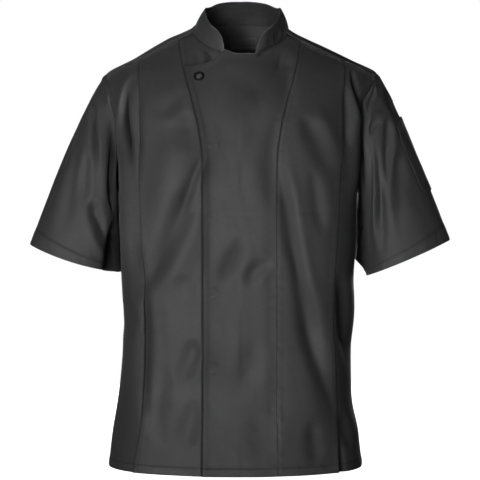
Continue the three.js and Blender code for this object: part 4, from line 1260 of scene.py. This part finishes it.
def collar_grid():
    """The stand collar, along the neckline from the wearer's right end."""
    z = column_top(lambda at: COLLAR_END_SHARE * CENTRE(at))
    end = math.acos(float(COLLAR_END_SHARE * CENTRE(z)) / NECK_HALF_WIDTH)
    half = PI / 2 + end
    whole = 2 * half * NECK_HALF_WIDTH
    angles = PI / 2 + half - lines_across(whole, COLLAR_PITCH)[None] / NECK_HALF_WIDTH
    x, y, z = neck_point(angles[0])
    foot = np.stack([x, y, z], 1)
    run = np.concatenate([[0], np.cumsum(np.linalg.norm(np.diff(foot, axis=0), axis=1))])
    from_end = np.minimum(run, run[-1] - run)
    share = clamp(1 - from_end / COLLAR_CORNER, 0, 1)
    from_back = np.abs(angles[0] - PI / 2)
    full = COLLAR_HEIGHT + COLLAR_BACK_RISE * (1 - ease(*COLLAR_RISE_FADES, from_back))
    top = COLLAR_END_HEIGHT + (full - COLLAR_END_HEIGHT) * np.sqrt(1 - share**2)
    up = lines_across(COLLAR_HEIGHT, 1.6)[:, None] / COLLAR_HEIGHT
    height = up * top
    slanted = PI / 2 + (angles - PI / 2) * (1 - COLLAR_SLANT * height / COLLAR_END_HEIGHT)
    x, y, _ = neck_point(slanted)
    inward = np.stack([-np.cos(angles), -COLLAR_FORE_LEAN * np.sin(angles), 0 * angles], -1)
    lean = COLLAR_LEAN * height / COLLAR_HEIGHT
    lean = lean * (1 - COLLAR_CURVE + COLLAR_CURVE * height / COLLAR_HEIGHT)
    points = np.stack([x, y, z + COLLAR_FOOT + height], -1) + inward * lean[..., None]
    points[..., 0] += COLLAR_SHIFT * height / COLLAR_HEIGHT
    right_side = bump(angles - PI - 0.1, 0.6)
    points[..., 0] += COLLAR_STEP_IN * right_side * ease(0, COLLAR_STEP_HEIGHT, height)
    off_top, off_end = (1 - up) * top, from_end + 0 * up
    run = run + 0 * up
    extra = COLLAR_CLOTH / 2 + creased(COLLAR_CREASES, run, height)
    extra = extra + 0.4 * noise(run / 26, height / 20, 91) + 0.5 * noise(run / 13, height / 30, 92)
    extra = extra + sewn(off_top, run, 93, rise=0.15, rows=STITCH_ROWS[1:], pucker=0.25)
    extra = extra - 0.6 * bump(height, 2.2)
    extra = extra + sewn(off_end, height, 94, rise=0.1, rows=STITCH_ROWS[1:], pucker=0.2)
    off_edge = np.minimum(off_top, off_end)
    at_end = ease(46, 26, off_end)
    # Painted highlight along the edges, strongest at the ends, and painted shade in the top row of
    # stitches.
    end_edge_highlight = 4.5 * at_end * bump(off_edge - 0.8, 1.9)
    tone = painted_edge_highlight(off_top) + end_edge_highlight - 0.4 * bump(off_top - STITCH_ROWS[1], 0.9)
    # Painted shade over the wearer's left part, painted light over part of the right, and painted shade
    # along the foot.
    shaded = 0.9 * plateau(*COLLAR_PAINTED_SHADE, run) * (1 - at_end * bump(off_edge, 3))
    tone = tone + 0.2 * plateau(*COLLAR_PAINTED_LIGHT, run) - bump(height, 1.5) - shaded
    return facing_out((points, extra, tone), -1)


# Sleeves

# Where each sleeve's back starts to rest on the body, where it does fully, and its share at the hem
SLEEVE_REST = {-1: (0.3, 0.55, 1.0), 1: (0.25, 0.5, 0.0)}
SLEEVE_REST_REACH = 26.0
SLEEVE_REST_ANGLE = PI + 0.5


def smooth_sleeve(sign, angle, along):
    """A sleeve's surface by the angle round its armhole and the share of the way to its hem."""
    size = SLEEVES[sign]
    angle, along = np.broadcast_arrays(angle, along)
    root = np.moveaxis(smooth_body(*armhole(sign, angle)), -1, 0)
    c, s = np.cos(angle), np.sin(angle)
    (ox, oz), (ix, iz) = size["outer"], size["inner"]
    hem = (
        sign * ((ox + ix) / 2 + (ox - ix) / 2 * c),
        SLEEVE_HEM_Y - np.where(s > 0, SLEEVE_HEM_FRONT, SLEEVE_HEM_BACK) * s,
        (oz + iz) / 2 + (oz - iz) / 2 * c - size["sag"] * s * s,
    )
    cap = ((1 + c) / 2) ** 2
    bend = (
        mix(root[0], hem[0], BEND_SHARE) + sign * size["bow"] * cap,
        mix(root[1], hem[1], BEND_SHARE) - SLEEVE_SWELL * s,
        mix(root[2], hem[2], BEND_SHARE) + SLEEVE_CAP * cap,
    )
    shares = (1 - along) ** 2, 2 * along * (1 - along), along**2
    x, y, z = (shares[0] * r + shares[1] * b + shares[2] * h for r, b, h in zip(root, bend, hem))
    # The back of the sleeve rests against the body's side.
    start, full, stay = SLEEVE_REST[sign]
    lies = ease(start, full, along) * mix(1, stay, ease(0.8, 1, along))
    x = x - sign * SLEEVE_REST_REACH * lies * bump(1 - np.cos(angle - SLEEVE_REST_ANGLE), 0.16)
    front = y < 0
    share = clamp(1 - (np.abs(y) / depth(z, front)) ** roundness(z, front), 0, 1)
    side = reach(z, np.full_like(z, sign)) * share ** (1 / across(z, front))
    least = side + SLEEVE_CLEAR * ease(0, 0.12, along)
    x = sign * np.maximum(sign * x, least * ease(0, 0.02, along))
    return np.stack([x, y, z], axis=-1)


# Creases of the sleeves: points (angle round the armhole, 0 at the shoulder and negative over the
# back, and share of the way to the hem), half width, depth, lip. The scale says how many millimetres
# an angle of 1 and the whole way stand for.
SLEEVE_SCALE = (80.0, 250.0)
SLEEVE_CREASES = {
    -1: [
        (
            [(0.40, 0.36), (0.62, 0.33), (0.85, 0.33), (1.05, 0.36), (1.26, 0.41), (1.5, 0.48)],
            7.5,
            7,
            -0.3,
        ),
        ([(1.35, 0.06), (1.75, 0.19), (2.15, 0.35), (2.5, 0.5)], 14, 12, 0),
        ([(1.55, 0.62), (1.72, 0.66), (2.05, 0.70), (2.4, 0.74)], 12, 8, 0.3),
        ([(1.7, 0.80), (2.08, 0.85), (2.45, 0.92)], 8, -5, 0),
        ([(2.78, 0.42), (2.74, 0.7), (2.7, 1.0), (2.68, 1.5)], 17, 22, 0),
        ([(0.55, 0.5), (1.0, 0.72), (1.3, 0.95)], 13, 4, 0.3),
        ([(1.12, 0.47), (1.22, 0.59), (1.45, 0.72)], 9, 4, -0.3),
        ([(0.55, 0.03), (0.75, 0.09), (1.0, 0.13)], 5, 3.5, 0.5),
        ([(0.15, 0.45), (0.35, 0.7), (0.3, 0.97)], 14, 3.5, 0.3),
        ([(-0.9, 0.12), (-1.2, 0.4), (-1.1, 0.7)], 12, 7, 0.3),
        ([(-1.7, 0.3), (-2.1, 0.6), (-2.0, 0.95)], 13, 7, 0.3),
        ([(-0.4, 0.3), (-0.6, 0.7)], 14, 4, 0.3),
    ],
    1: [
        ([(1.36, 0.2), (1.2, 0.23), (1.05, 0.28), (0.95, 0.33)], 5.5, 5, 0.5),
        ([(0.76, 0.33), (0.97, 0.44), (1.22, 0.5), (1.45, 0.58)], 7.5, 6, 0.4),
        ([(1.45, 0.3), (1.95, 0.52), (2.4, 0.76)], 8, -5, 0.3),
        ([(1.6, 0.0), (1.97, 0.11), (2.45, 0.26), (2.85, 0.45), (3.02, 0.66)], 10, 13, 0),
        ([(1.62, 0.5), (1.95, 0.68), (2.2, 0.9)], 9, 5, -0.3),
        ([(0.77, 0.54), (1.24, 0.68), (1.63, 0.85)], 12, 4, -0.3),
        ([(0.6, 0.03), (0.85, 0.09), (1.1, 0.13)], 5, 3.5, 0.5),
        ([(0.15, 0.2), (0.35, 0.32), (0.3, 0.42)], 10, 3, 0.3),
        ([(-0.9, 0.12), (-1.25, 0.42), (-1.1, 0.75)], 12, 7, 0.3),
        ([(-1.75, 0.35), (-2.1, 0.6), (-1.9, 0.95)], 13, 7, 0.3),
        ([(-0.8, 0.35), (-0.95, 0.75)], 12, 4, 0.3),
    ],
}
# Painted shade in their creases, or (negative) painted light, in the same way
SLEEVE_PAINTED_SHADING = {
    -1: [
        ([(0.62, 0.33), (0.85, 0.33), (1.05, 0.36), (1.26, 0.41), (1.5, 0.48)], 6, 0.7, 0),
        ([(1.15, 0.06), (1.42, 0.2), (1.78, 0.29), (2.2, 0.4), (2.6, 0.5)], 16, 0.8, 0),
        ([(1.3, 0.08), (1.6, 0.13), (1.95, 0.19), (2.4, 0.32), (2.75, 0.45)], 12, 0.9, 0),
        ([(0.7, 0.03), (0.92, 0.04), (1.2, 0.05)], 3, -1.8, 0),
    ],
    1: [([(1.6, 0.0), (1.97, 0.11), (2.45, 0.26), (2.85, 0.45), (3.02, 0.66)], 9, 0.8, 0)],
}
SLEEVE_LENGTH = 262.0
SLEEVE_COLUMNS = 150
SLEEVE_ROOT_LINES = (0, 0.6, 1.4, 2.4, 4, 6)
SLEEVE_DARKEST_PAINTED_SHADE = -1.3


def sleeve_creased(creases, angle, along):
    """Relief of creases that are given by angles and shares of the way to the hem."""
    shown = np.where(angle > PI, angle - 2 * PI, angle)
    a, b = SLEEVE_SCALE
    in_mm = [([(p * a, q * b) for p, q in path], *rest) for path, *rest in creases]
    return creased(in_mm, shown * a, along * b)


def sleeve_relief(sign, angle, along):
    folds = sleeve_creased(SLEEVE_CREASES[sign], angle, along)
    c, s = np.cos(angle) * 3, np.sin(angle) * 3
    slow = 1.1 * noise(c + 7, s + along * 3 + 9, 101 + sign)
    slow = slow + 0.5 * noise(c * 2 + 11, s * 2 + along * 7, 103 + sign)
    return folds * ease(0.02, 0.1, along) + slow * ease(0.02, 0.15, along)


SLEEVE_ROWS_AT = lines_across(SLEEVE_LENGTH, 3.0, SLEEVE_ROOT_LINES, HEM_LINES) / SLEEVE_LENGTH


def sleeve_grid(sign, angle, along, lift=0.0):
    """The sleeve with its creases and hem, at arrays of angles and shares."""
    angle, along = np.broadcast_arrays(angle, along)
    points = smooth_sleeve(sign, angle, along)
    off_hem = (1 - along) * SLEEVE_LENGTH
    off_root = along * SLEEVE_LENGTH
    round_it = angle * SLEEVE_SCALE[0]
    extra = hemmed(off_hem, round_it, 111 + sign) - 1.6 * bump(off_root, 2.6)
    # Below the shoulder a valley runs beside the armhole, where the body's cloth folds over it.
    low = ease(0.25, -0.55, np.cos(angle))
    extra = extra - 8 * low * bump(off_root - 9, 5.5)
    extra = extra + 0.6 * noise(round_it / 9, off_root / 30, 113 + sign) * bump(off_root - 7, 9)
    relief = sleeve_relief(sign, angle, along) + extra + lift
    # Painted shade in the armhole's seam and in the valley beside it, and the hem's painted shading.
    tone = painted_hem_shading(off_hem) - bump(off_root, 2.5) - low * bump(off_root - 7, 8)
    tone = tone + sleeve_creased(SLEEVE_PAINTED_SHADING[sign], angle, along)
    if sign < 0:
        # Painted deep shade on the sleeve's cloth beside the body and in the fold at its foot.
        tone = tone - 0.7 * low * bump(off_root - 26, 16) * (1 - ease(2.5, 3.0, angle))
        under = plateau(2.66, 2.84, 4.0, 4.4, angle)
        tone = tone - 1.2 * under * ease(0.5, 0.68, along)
    return points, relief, np.maximum(tone, SLEEVE_DARKEST_PAINTED_SHADE)


def sleeve(sign):
    """A sleeve as one tube, from its hem up to the armhole."""
    angles = np.arange(SLEEVE_COLUMNS) / SLEEVE_COLUMNS * 2 * PI
    angles = angles if sign < 0 else angles[::-1]
    return sleeve_grid(sign, angles[None], SLEEVE_ROWS_AT[::-1, None])


def pocket_grid():
    """The pocket on the wearer's left sleeve, on the sleeve's own surface, moved out. The front
    corner of its mouth stands open."""
    first, last = POCKET_ALONG
    length = (last - first) * SLEEVE_LENGTH
    down = lines_across(length, POCKET_PITCH)[:, None]
    side = lines_across(POCKET_WIDTH, POCKET_PITCH)[None] / POCKET_WIDTH
    from_foot = length - down
    rounding = POCKET_CORNER - clamp(from_foot, 0, POCKET_CORNER)
    inset = (POCKET_CORNER - np.sqrt(POCKET_CORNER**2 - rounding**2)) / POCKET_WIDTH
    share = inset + side * (1 - 2 * inset)
    angle = mix(*POCKET_ANGLES, share)
    along = first + down / SLEEVE_LENGTH
    from_back, from_front = side * POCKET_WIDTH, (1 - side) * POCKET_WIDTH
    open_corner = (1 - ease(8, POCKET_MOUTH, down)) * bump(from_front, 16)
    lift = POCKET_LIFT + 3.2 * open_corner + 0.8 * bump(down, 14) * np.sin(PI * side)
    points, relief, _ = sleeve_grid(1, angle, along, lift)
    relief = relief + sewn(down, side * 90, 121, rise=0.4, rows=(), pucker=0.2)
    # Painted highlight along the mouth's folded edge, painted shade at the foot of the mouth's band.
    tone = painted_edge_highlight(down) - 0.5 * bump(down - POCKET_MOUTH, 1.0)
    edges = (
        (from_front, down, 123, 1 - open_corner),
        (from_back, down, 125, 1),
        (from_foot, side * 90, 127, 1),
    )
    for off, run, seed, fastened in edges:
        relief = relief + sewn(off, run, seed, rise=0.3, pucker=0.25) * fastened
        tone = tone + painted_seam_shade(off) * fastened
    return points, relief, tone


# Neck label


def label_grid():
    """The bare label inside the back of the neck, a little puffed between its sewn edges."""
    x, z = (
        middle - size / 2 + lines_across(size, LABEL_PITCH, LABEL_LINES, LABEL_LINES)
        for middle, size in zip(LABEL_PLACE, LABEL_SIZE)
    )
    x, z = x[None], z[:, None]
    turn, z = np.broadcast_arrays(turn_at(x, z, False), z)
    points = smooth_body(turn, z)
    off_x, off_z = (
        size / 2 - np.abs(at - middle)
        for at, middle, size in zip((x, z), LABEL_PLACE, LABEL_SIZE)
    )
    off = np.minimum(off_x, off_z)
    puff = 0.5 * ease(LABEL_STITCHES, 6, off) + 0.15 * noise(x / 5, z / 4, 131)
    groove = 0.3 * bump(off - LABEL_STITCHES, 0.5)
    relief = LABEL_LIFT - body_relief(turn, points[..., 0], z) + puff - groove
    # Painted highlight along the label's edges, strongest along the lower one, and painted shade in its
    # row of stitches.
    lower_edge = bump(z - (LABEL_PLACE[1] - LABEL_SIZE[1] / 2) - 2.6, 1.1)
    tone = 1.4 * bump(off, 1.2) - 0.5 * bump(off - LABEL_STITCHES, 0.6) + 2.4 * lower_edge
    return points, relief, tone


# Stud


def turned_object(name, profile, count, place, axis):
    """A body turned round an axis, from a closed profile of (radius, height) that starts and ends
    on the axis."""
    profile = np.array(profile)
    inner = profile[1:-1]
    angle = np.arange(count) / count * 2 * PI
    ring = np.stack([np.cos(angle), np.sin(angle)], 1)
    rings = [np.column_stack([ring * radius, np.full(count, height)]) for radius, height in inner]
    points = np.concatenate([[[0, 0, profile[0][1]]], *rings, [[0, 0, profile[-1][1]]]])
    faces = []
    for k in range(count):
        n = (k + 1) % count
        faces.append((0, 1 + n, 1 + k))
        for row in range(len(inner) - 1):
            a, b = 1 + row * count, 1 + (row + 1) * count
            faces.append((a + k, a + n, b + n, b + k))
        last = 1 + (len(inner) - 1) * count
        faces.append((last + k, last + n, len(points) - 1))
    turn = np.array(Vector((0, 0, 1)).rotation_difference(Vector(axis)).to_matrix())
    return mesh_object(name, points @ turn.T + place, faces)


def arc_profile(middle, radii, start, stop, steps=8):
    """Points of a profile round part of an ellipse, between angles in degrees."""
    angles = np.radians(np.linspace(start, stop, steps))
    return [(middle[0] + radii[0] * math.cos(a), middle[1] + radii[1] * math.sin(a)) for a in angles]


def stud():
    """The one ring snap that shows: a rounded ring, and a domed cap inside it."""
    x, z = (np.array([[v]]) for v in STUD_PLACE)
    turn = turn_at(x, z, True)
    seat = smooth_body(turn, z)[0, 0]
    ahead = smooth_body(turn + 0.01, z)[0, 0] - seat
    above = smooth_body(turn_at(x, z + 2, True), z + 2)[0, 0] - seat
    axis = np.cross(ahead, above)
    axis /= np.linalg.norm(axis)
    axis = axis if axis[1] < 0 else -axis
    place = seat + axis * (LAP_LIFT + STUD_CLEAR)
    width = STUD_RING_WIDTH
    outer = STUD_RADIUS + STUD_RIM
    ring = [(0, 0), (outer - 1.2, 0)]
    ring += arc_profile((outer - width / 2, 1.0), (width / 2, 1.9), -25, 180, 14)
    ring += [(outer - width - 0.25, 0.5), (0, 0.45)]
    inner = outer - width - 0.5
    cap = [(0, 0.55), (inner, 0.55), *arc_profile((inner - 0.7, 1.0), (0.7, 0.6), 0, 90, 5)]
    cap += [(inner * 0.6, 2.0), (inner * 0.35, 2.4), (0, 2.55)]
    return (
        turned_object("stud_ring", ring, 64, place, axis),
        turned_object("stud_cap", cap, 48, place, axis),
    )


# Materials


def principled(name, roughness, metallic=0.0):
    material = bpy.data.materials.new(name)
    material.use_nodes = True
    shader = material.node_tree.nodes["Principled BSDF"]
    shader.inputs["Roughness"].default_value = roughness
    shader.inputs["Metallic"].default_value = metallic
    return material, material.node_tree, shader


def set_inputs(tree, node, inputs):
    """Sets a node's inputs, given as values or as sockets to link from."""
    for key, value in inputs.items():
        if isinstance(value, bpy.types.NodeSocket):
            tree.links.new(value, node.inputs[key])
        else:
            node.inputs[key].default_value = value


def add_node(tree, kind, inputs, **settings):
    node = tree.nodes.new(kind)
    for key, value in settings.items():
        setattr(node, key, value)
    set_inputs(tree, node, inputs)
    return node


def coordinates(tree, kind):
    return add_node(tree, "ShaderNodeTexCoord", {}).outputs[kind]


def math_node(tree, operation, a, b):
    return add_node(tree, "ShaderNodeMath", {0: a, 1: b}, operation=operation).outputs[0]


def noise_node(tree, vector, scale, detail):
    inputs = {"Vector": vector, "Scale": scale, "Detail": detail}
    return add_node(tree, "ShaderNodeTexNoise", inputs).outputs[0]


def scaled(tree, value, factor, start):
    """start + factor * value"""
    inputs = {0: value, 1: factor, 2: start}
    return add_node(tree, "ShaderNodeMath", inputs, operation="MULTIPLY_ADD").outputs[0]


def shaded(tree, shade, tone):
    """A colour times a tone."""
    return add_node(tree, "ShaderNodeVectorMath", {0: shade, 3: tone}, operation="SCALE").outputs[0]


def woven_material(name, shade, turn, rib_scale, ribs, gloss):
    """Woven cloth: slanting ribs, uneven yarn, soft cloudy tone, and the painted highlights and
    painted shade that the tone attribute carries."""
    material, tree, shader = principled(name, gloss)
    place, solid = coordinates(tree, "UV"), coordinates(tree, "Object")
    slant = {"Vector": place, "Rotation": (0, 0, math.radians(turn))}
    turned = add_node(tree, "ShaderNodeMapping", slant).outputs[0]
    wave = {"Vector": turned, "Scale": rib_scale, "Distortion": 1.2, "Detail": 1.0}
    rib = add_node(tree, "ShaderNodeTexWave", wave, wave_type="BANDS").outputs["Fac"]
    yarn = noise_node(tree, place, 900.0, 3.0)
    slub = noise_node(tree, solid, 260.0, 4.0)
    cloud = noise_node(tree, solid, 14.0, 5.0)
    # The tone attribute: painted light where positive, painted shade where negative.
    edge = add_node(tree, "ShaderNodeAttribute", {}, attribute_name="tone").outputs["Fac"]
    painted_light = math_node(tree, "MAXIMUM", edge, 0.0)
    painted_shade = math_node(tree, "MINIMUM", edge, 0.0)
    painted_light = math_node(tree, "MULTIPLY", painted_light, scaled(tree, slub, 0.9, 0.1))
    tone = scaled(tree, rib, ribs, 1 - ribs / 2)
    for value, factor, base in ((slub, 0.5, 0.75), (cloud, 0.5, 0.75), (painted_shade, 0.7, 1), (painted_light, 0.9, 1)):
        tone = math_node(tree, "MULTIPLY", tone, scaled(tree, value, factor, base))
    rough = math_node(tree, "ADD", scaled(tree, slub, 0.16, gloss - 0.08), scaled(tree, painted_shade, -0.3, 0.0))
    height = scaled(tree, rib, 0.5, 0.0)
    for value, factor in ((yarn, 0.6), (slub, 0.9)):
        height = scaled(tree, value, factor, height)
    relief = {"Height": height, "Strength": 0.3, "Distance": 0.0005}
    inputs = {
        "Base Color": shaded(tree, shade, tone),
        "Roughness": rough,
        "Sheen Weight": 0.06,
        "Sheen Roughness": 0.4,
        "Specular IOR Level": 0.4,
        "Normal": add_node(tree, "ShaderNodeBump", relief).outputs[0],
    }
    set_inputs(tree, shader, inputs)
    return material


def thread_material():
    """Dark twisted sewing thread."""
    material, tree, shader = principled("dark_thread", 0.5)
    tone = scaled(tree, noise_node(tree, coordinates(tree, "Object"), 1400.0, 2.0), 0.9, 0.55)
    colour = shaded(tree, (0.02, 0.02, 0.021), tone)
    set_inputs(tree, shader, {"Base Color": colour, "Roughness": scaled(tree, tone, 0.3, 0.3)})
    return material


def metal_material(name, shade, gloss, grain):
    """Dark plated metal, with faint marks in its gloss."""
    material, tree, shader = principled(name, gloss, metallic=0.85)
    marks = noise_node(tree, coordinates(tree, "Object"), grain, 4.0)
    colour = shaded(tree, shade, scaled(tree, marks, 0.5, 0.75))
    set_inputs(tree, shader, {"Base Color": colour, "Roughness": scaled(tree, marks, 0.2, gloss - 0.1)})
    return material


# Place everything

TWILL = woven_material("charcoal_twill", (0.034, 0.034, 0.035), 62, 360.0, 0.22, 0.66)
TAPE = woven_material("label_tape", (0.042, 0.042, 0.043), 0, 700.0, 0.3, 0.42)
THREAD = thread_material()
RING_METAL = metal_material("black_nickel", (0.02, 0.02, 0.021), 0.2, 300.0)
CAP_METAL = metal_material("brushed_nickel", (0.2, 0.2, 0.205), 0.28, 900.0)


def finish_piece(obj, material, nodes=()):
    obj.data.materials.append(material)
    if nodes:
        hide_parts(*nodes)
    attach(obj, "root")


def build_walls():
    return {
        "right_side_panel": Wall("right_side_panel_cloth", [side_panel(-1)]),
        "left_side_panel": Wall("left_side_panel_cloth", [side_panel(1)]),
        "right_front": Wall("right_front_cloth", [front_panel(-1)]),
        "left_front": Wall("left_front_cloth", [front_panel(1)]),
        "right_underlap": Wall("right_underlap_cloth", [underlap()]),
        # The lap's rim carries painted shadow.
        "front_lap": Wall("front_lap_cloth", [lap()], rim_tone=-0.7),
        "back": Wall("back_cloth", back()),
        # The collar's rim has a painted highlight, its inner face painted shade.
        "collar": Wall(
            "collar_cloth", [collar_grid()], COLLAR_CLOTH, rim_tone=0.9, inner_tone=-0.75
        ),
        "right_sleeve": Wall("right_sleeve_cloth", [sleeve(-1)], closed=True),
        "left_sleeve": Wall("left_sleeve_cloth", [sleeve(1)], closed=True),
        "sleeve_pocket": Wall("sleeve_pocket_cloth", [pocket_grid()]),
        "neck_label": Wall("neck_label_tape", [label_grid()], LABEL_CLOTH),
    }


# The lines of each piece that carry stitches: grid, rows, columns
ALL = slice(None)
HEM = (0, HEM_STITCH_LINE, ALL)
BESIDE_ARMHOLE = slice(185, None)
SHOULDER_ROWS = (-1 - FIRST_STITCH_LINE, -1 - SECOND_STITCH_LINE)
POCKET_SPAN = slice(FIRST_STITCH_LINE, -FIRST_STITCH_LINE)
LABEL_SPAN = slice(LABEL_STITCH_LINE, -LABEL_STITCH_LINE)
LABEL_SIDES = (LABEL_STITCH_LINE, -1 - LABEL_STITCH_LINE)
STITCHED = {
    "right_side_panel": [HEM, (0, BESIDE_ARMHOLE, SECOND_STITCH_LINE)],
    "left_side_panel": [HEM, (0, BESIDE_ARMHOLE, -1 - SECOND_STITCH_LINE)],
    "right_front": [HEM, (0, ALL, FIRST_STITCH_LINE), (0, ALL, SECOND_STITCH_LINE)],
    "left_front": [
        HEM,
        (0, ALL, -1 - FIRST_STITCH_LINE),
        (0, ALL, -1 - SECOND_STITCH_LINE),
        (0, ALL, FIRST_STITCH_LINE),
    ],
    "right_underlap": [HEM],
    "front_lap": [HEM],
    "back": [HEM] + [(grid, row, ALL) for grid in (1, 2) for row in SHOULDER_ROWS],
    "collar": [(0, -1 - SECOND_STITCH_LINE, ALL)],
    "right_sleeve": [HEM],
    "left_sleeve": [HEM],
    "sleeve_pocket": [
        (0, POCKET_SPAN, FIRST_STITCH_LINE),
        (0, POCKET_SPAN, -1 - FIRST_STITCH_LINE),
        (0, -1 - FIRST_STITCH_LINE, ALL),
    ],
    "neck_label": [
        *((0, row, LABEL_SPAN) for row in LABEL_SIDES),
        *((0, LABEL_SPAN, column) for column in LABEL_SIDES),
    ],
}

# The cut of what shows of each piece, as width, length and area in metres, and what it is sewn to
SHEETS = {
    "right_side_panel": (0.13, 0.70, 0.070, ["right_front", "back"]),
    "left_side_panel": (0.13, 0.70, 0.070, ["left_front", "back"]),
    "right_front": (0.125, 0.72, 0.080, ["right_side_panel", "right_underlap"]),
    "left_front": (0.125, 0.72, 0.080, ["left_side_panel", "front_lap"]),
    "right_underlap": (0.105, 0.70, 0.068, ["right_front"]),
    "front_lap": (0.20, 0.70, 0.100, ["left_front"]),
    "back": (0.56, 0.80, 0.40, ["right_side_panel", "left_side_panel"]),
    "collar": (0.45, 0.039, 0.016, ["back"]),
    "right_sleeve": (0.48, 0.33, 0.110, ["right_side_panel", "back"]),
    "left_sleeve": (0.48, 0.33, 0.110, ["left_side_panel", "back"]),
    "sleeve_pocket": (0.108, 0.114, 0.0121, ["left_sleeve"]),
    "neck_label": (0.048, 0.019, 0.00090, ["back"]),
}

for node_name, wall in build_walls().items():
    is_label = node_name == "neck_label"
    finish_piece(wall.object, TAPE if is_label else TWILL, [node_name])
    lines = [wall.line(*place) for place in STITCHED[node_name]]
    stitches = stitch_lines(node_name + "_stitches", lines)
    finish_piece(stitches, THREAD)
    width, length, area, rests_on = SHEETS[node_name]
    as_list(rests_on)

ring, cap = stud()
finish_piece(ring, RING_METAL, ["stud"])
finish_piece(cap, CAP_METAL)


# Camera, light and stage

CAMERA_PLACE = (0, -3.0, -0.343)
CAMERA_LENS = 132.35
SENSOR_WIDTH = 36
# Lamps: name, place, where they point, width in metres, power in watts, spread in degrees
LAMPS = [
    ("key", (-1.0, -2.9, -0.62), (-0.06, 0, -0.34), 0.9, 4.6, 34),
    ("front", (-0.15, -3.25, -0.5), (0, 0, -0.36), 0.6, 6.5, 180),
    ("neck", (-0.14, -3.1, -0.5), (-0.02, 0.02, 0.03), 0.3, 0.035, 4.5),
    ("right", (1.9, -2.3, -0.3), (0, 0, -0.35), 1.6, 6, 180),
    ("left", (-2.3, -1.9, -0.4), (0, 0, -0.35), 1.6, 2.6, 180),
    ("top", (-0.3, -0.9, 2.2), (0, 0, -0.2), 1.2, 2, 180),
    ("back_left", (-0.7, 3.2, 0.1), (0, 0, -0.35), 1.2, 36, 180),
    ("back_right", (1.3, 2.9, 0.0), (0, 0, -0.35), 1.2, 14, 180),
]
FLOOR_HALF = 6.0
FLOOR_Z = -0.86

camera = bpy.data.objects.new("camera", bpy.data.cameras.new("camera"))
camera.location = CAMERA_PLACE
camera.rotation_euler = (PI / 2, 0, 0)
camera.data.lens = CAMERA_LENS
camera.data.sensor_width = SENSOR_WIDTH
bpy.context.scene.collection.objects.link(camera)
bpy.context.scene.camera = camera


def area_light(name, place, aim, size, power, spread):
    data = bpy.data.lights.new(name, "AREA")
    data.shape = "DISK"
    data.size = size
    data.energy = power
    data.spread = math.radians(spread)
    obj = bpy.data.objects.new(name, data)
    obj.location = place
    obj.rotation_euler = (Vector(aim) - Vector(place)).to_track_quat("-Z", "Y").to_euler()
    bpy.context.scene.collection.objects.link(obj)


for lamp in LAMPS:
    area_light(*lamp)

# The background is white to the camera and casts no light on the cloth, which is lit by the lamps alone.
world = bpy.data.worlds.new("world")
world.use_nodes = True
world.node_tree.nodes["Background"].inputs["Color"].default_value = (1, 1, 1, 1)
world.node_tree.nodes["Background"].inputs["Strength"].default_value = 1.0
world.cycles_visibility.diffuse = False
world.cycles_visibility.glossy = False
bpy.context.scene.world = world
bpy.context.scene.view_settings.view_transform = "Standard"


def floor():
    """A plain white floor that gives the jacket no light."""
    sides = ((-1, -1), (1, -1), (1, 1), (-1, 1))
    corners = [(x * FLOOR_HALF, y * FLOOR_HALF, FLOOR_Z) for x, y in sides]
    obj = mesh_object("floor", np.array(corners) / MM, [(0, 1, 2, 3)])
    material, tree, shader = principled("paper", 0.9)
    paper = {
        "Base Color": (0.9, 0.9, 0.9, 1),
        "Emission Color": (1, 1, 1, 1),
        "Emission Strength": 1.0,
    }
    set_inputs(tree, shader, paper)
    obj.data.materials.append(material)
    obj.visible_diffuse = False
    obj.visible_glossy = False


floor()
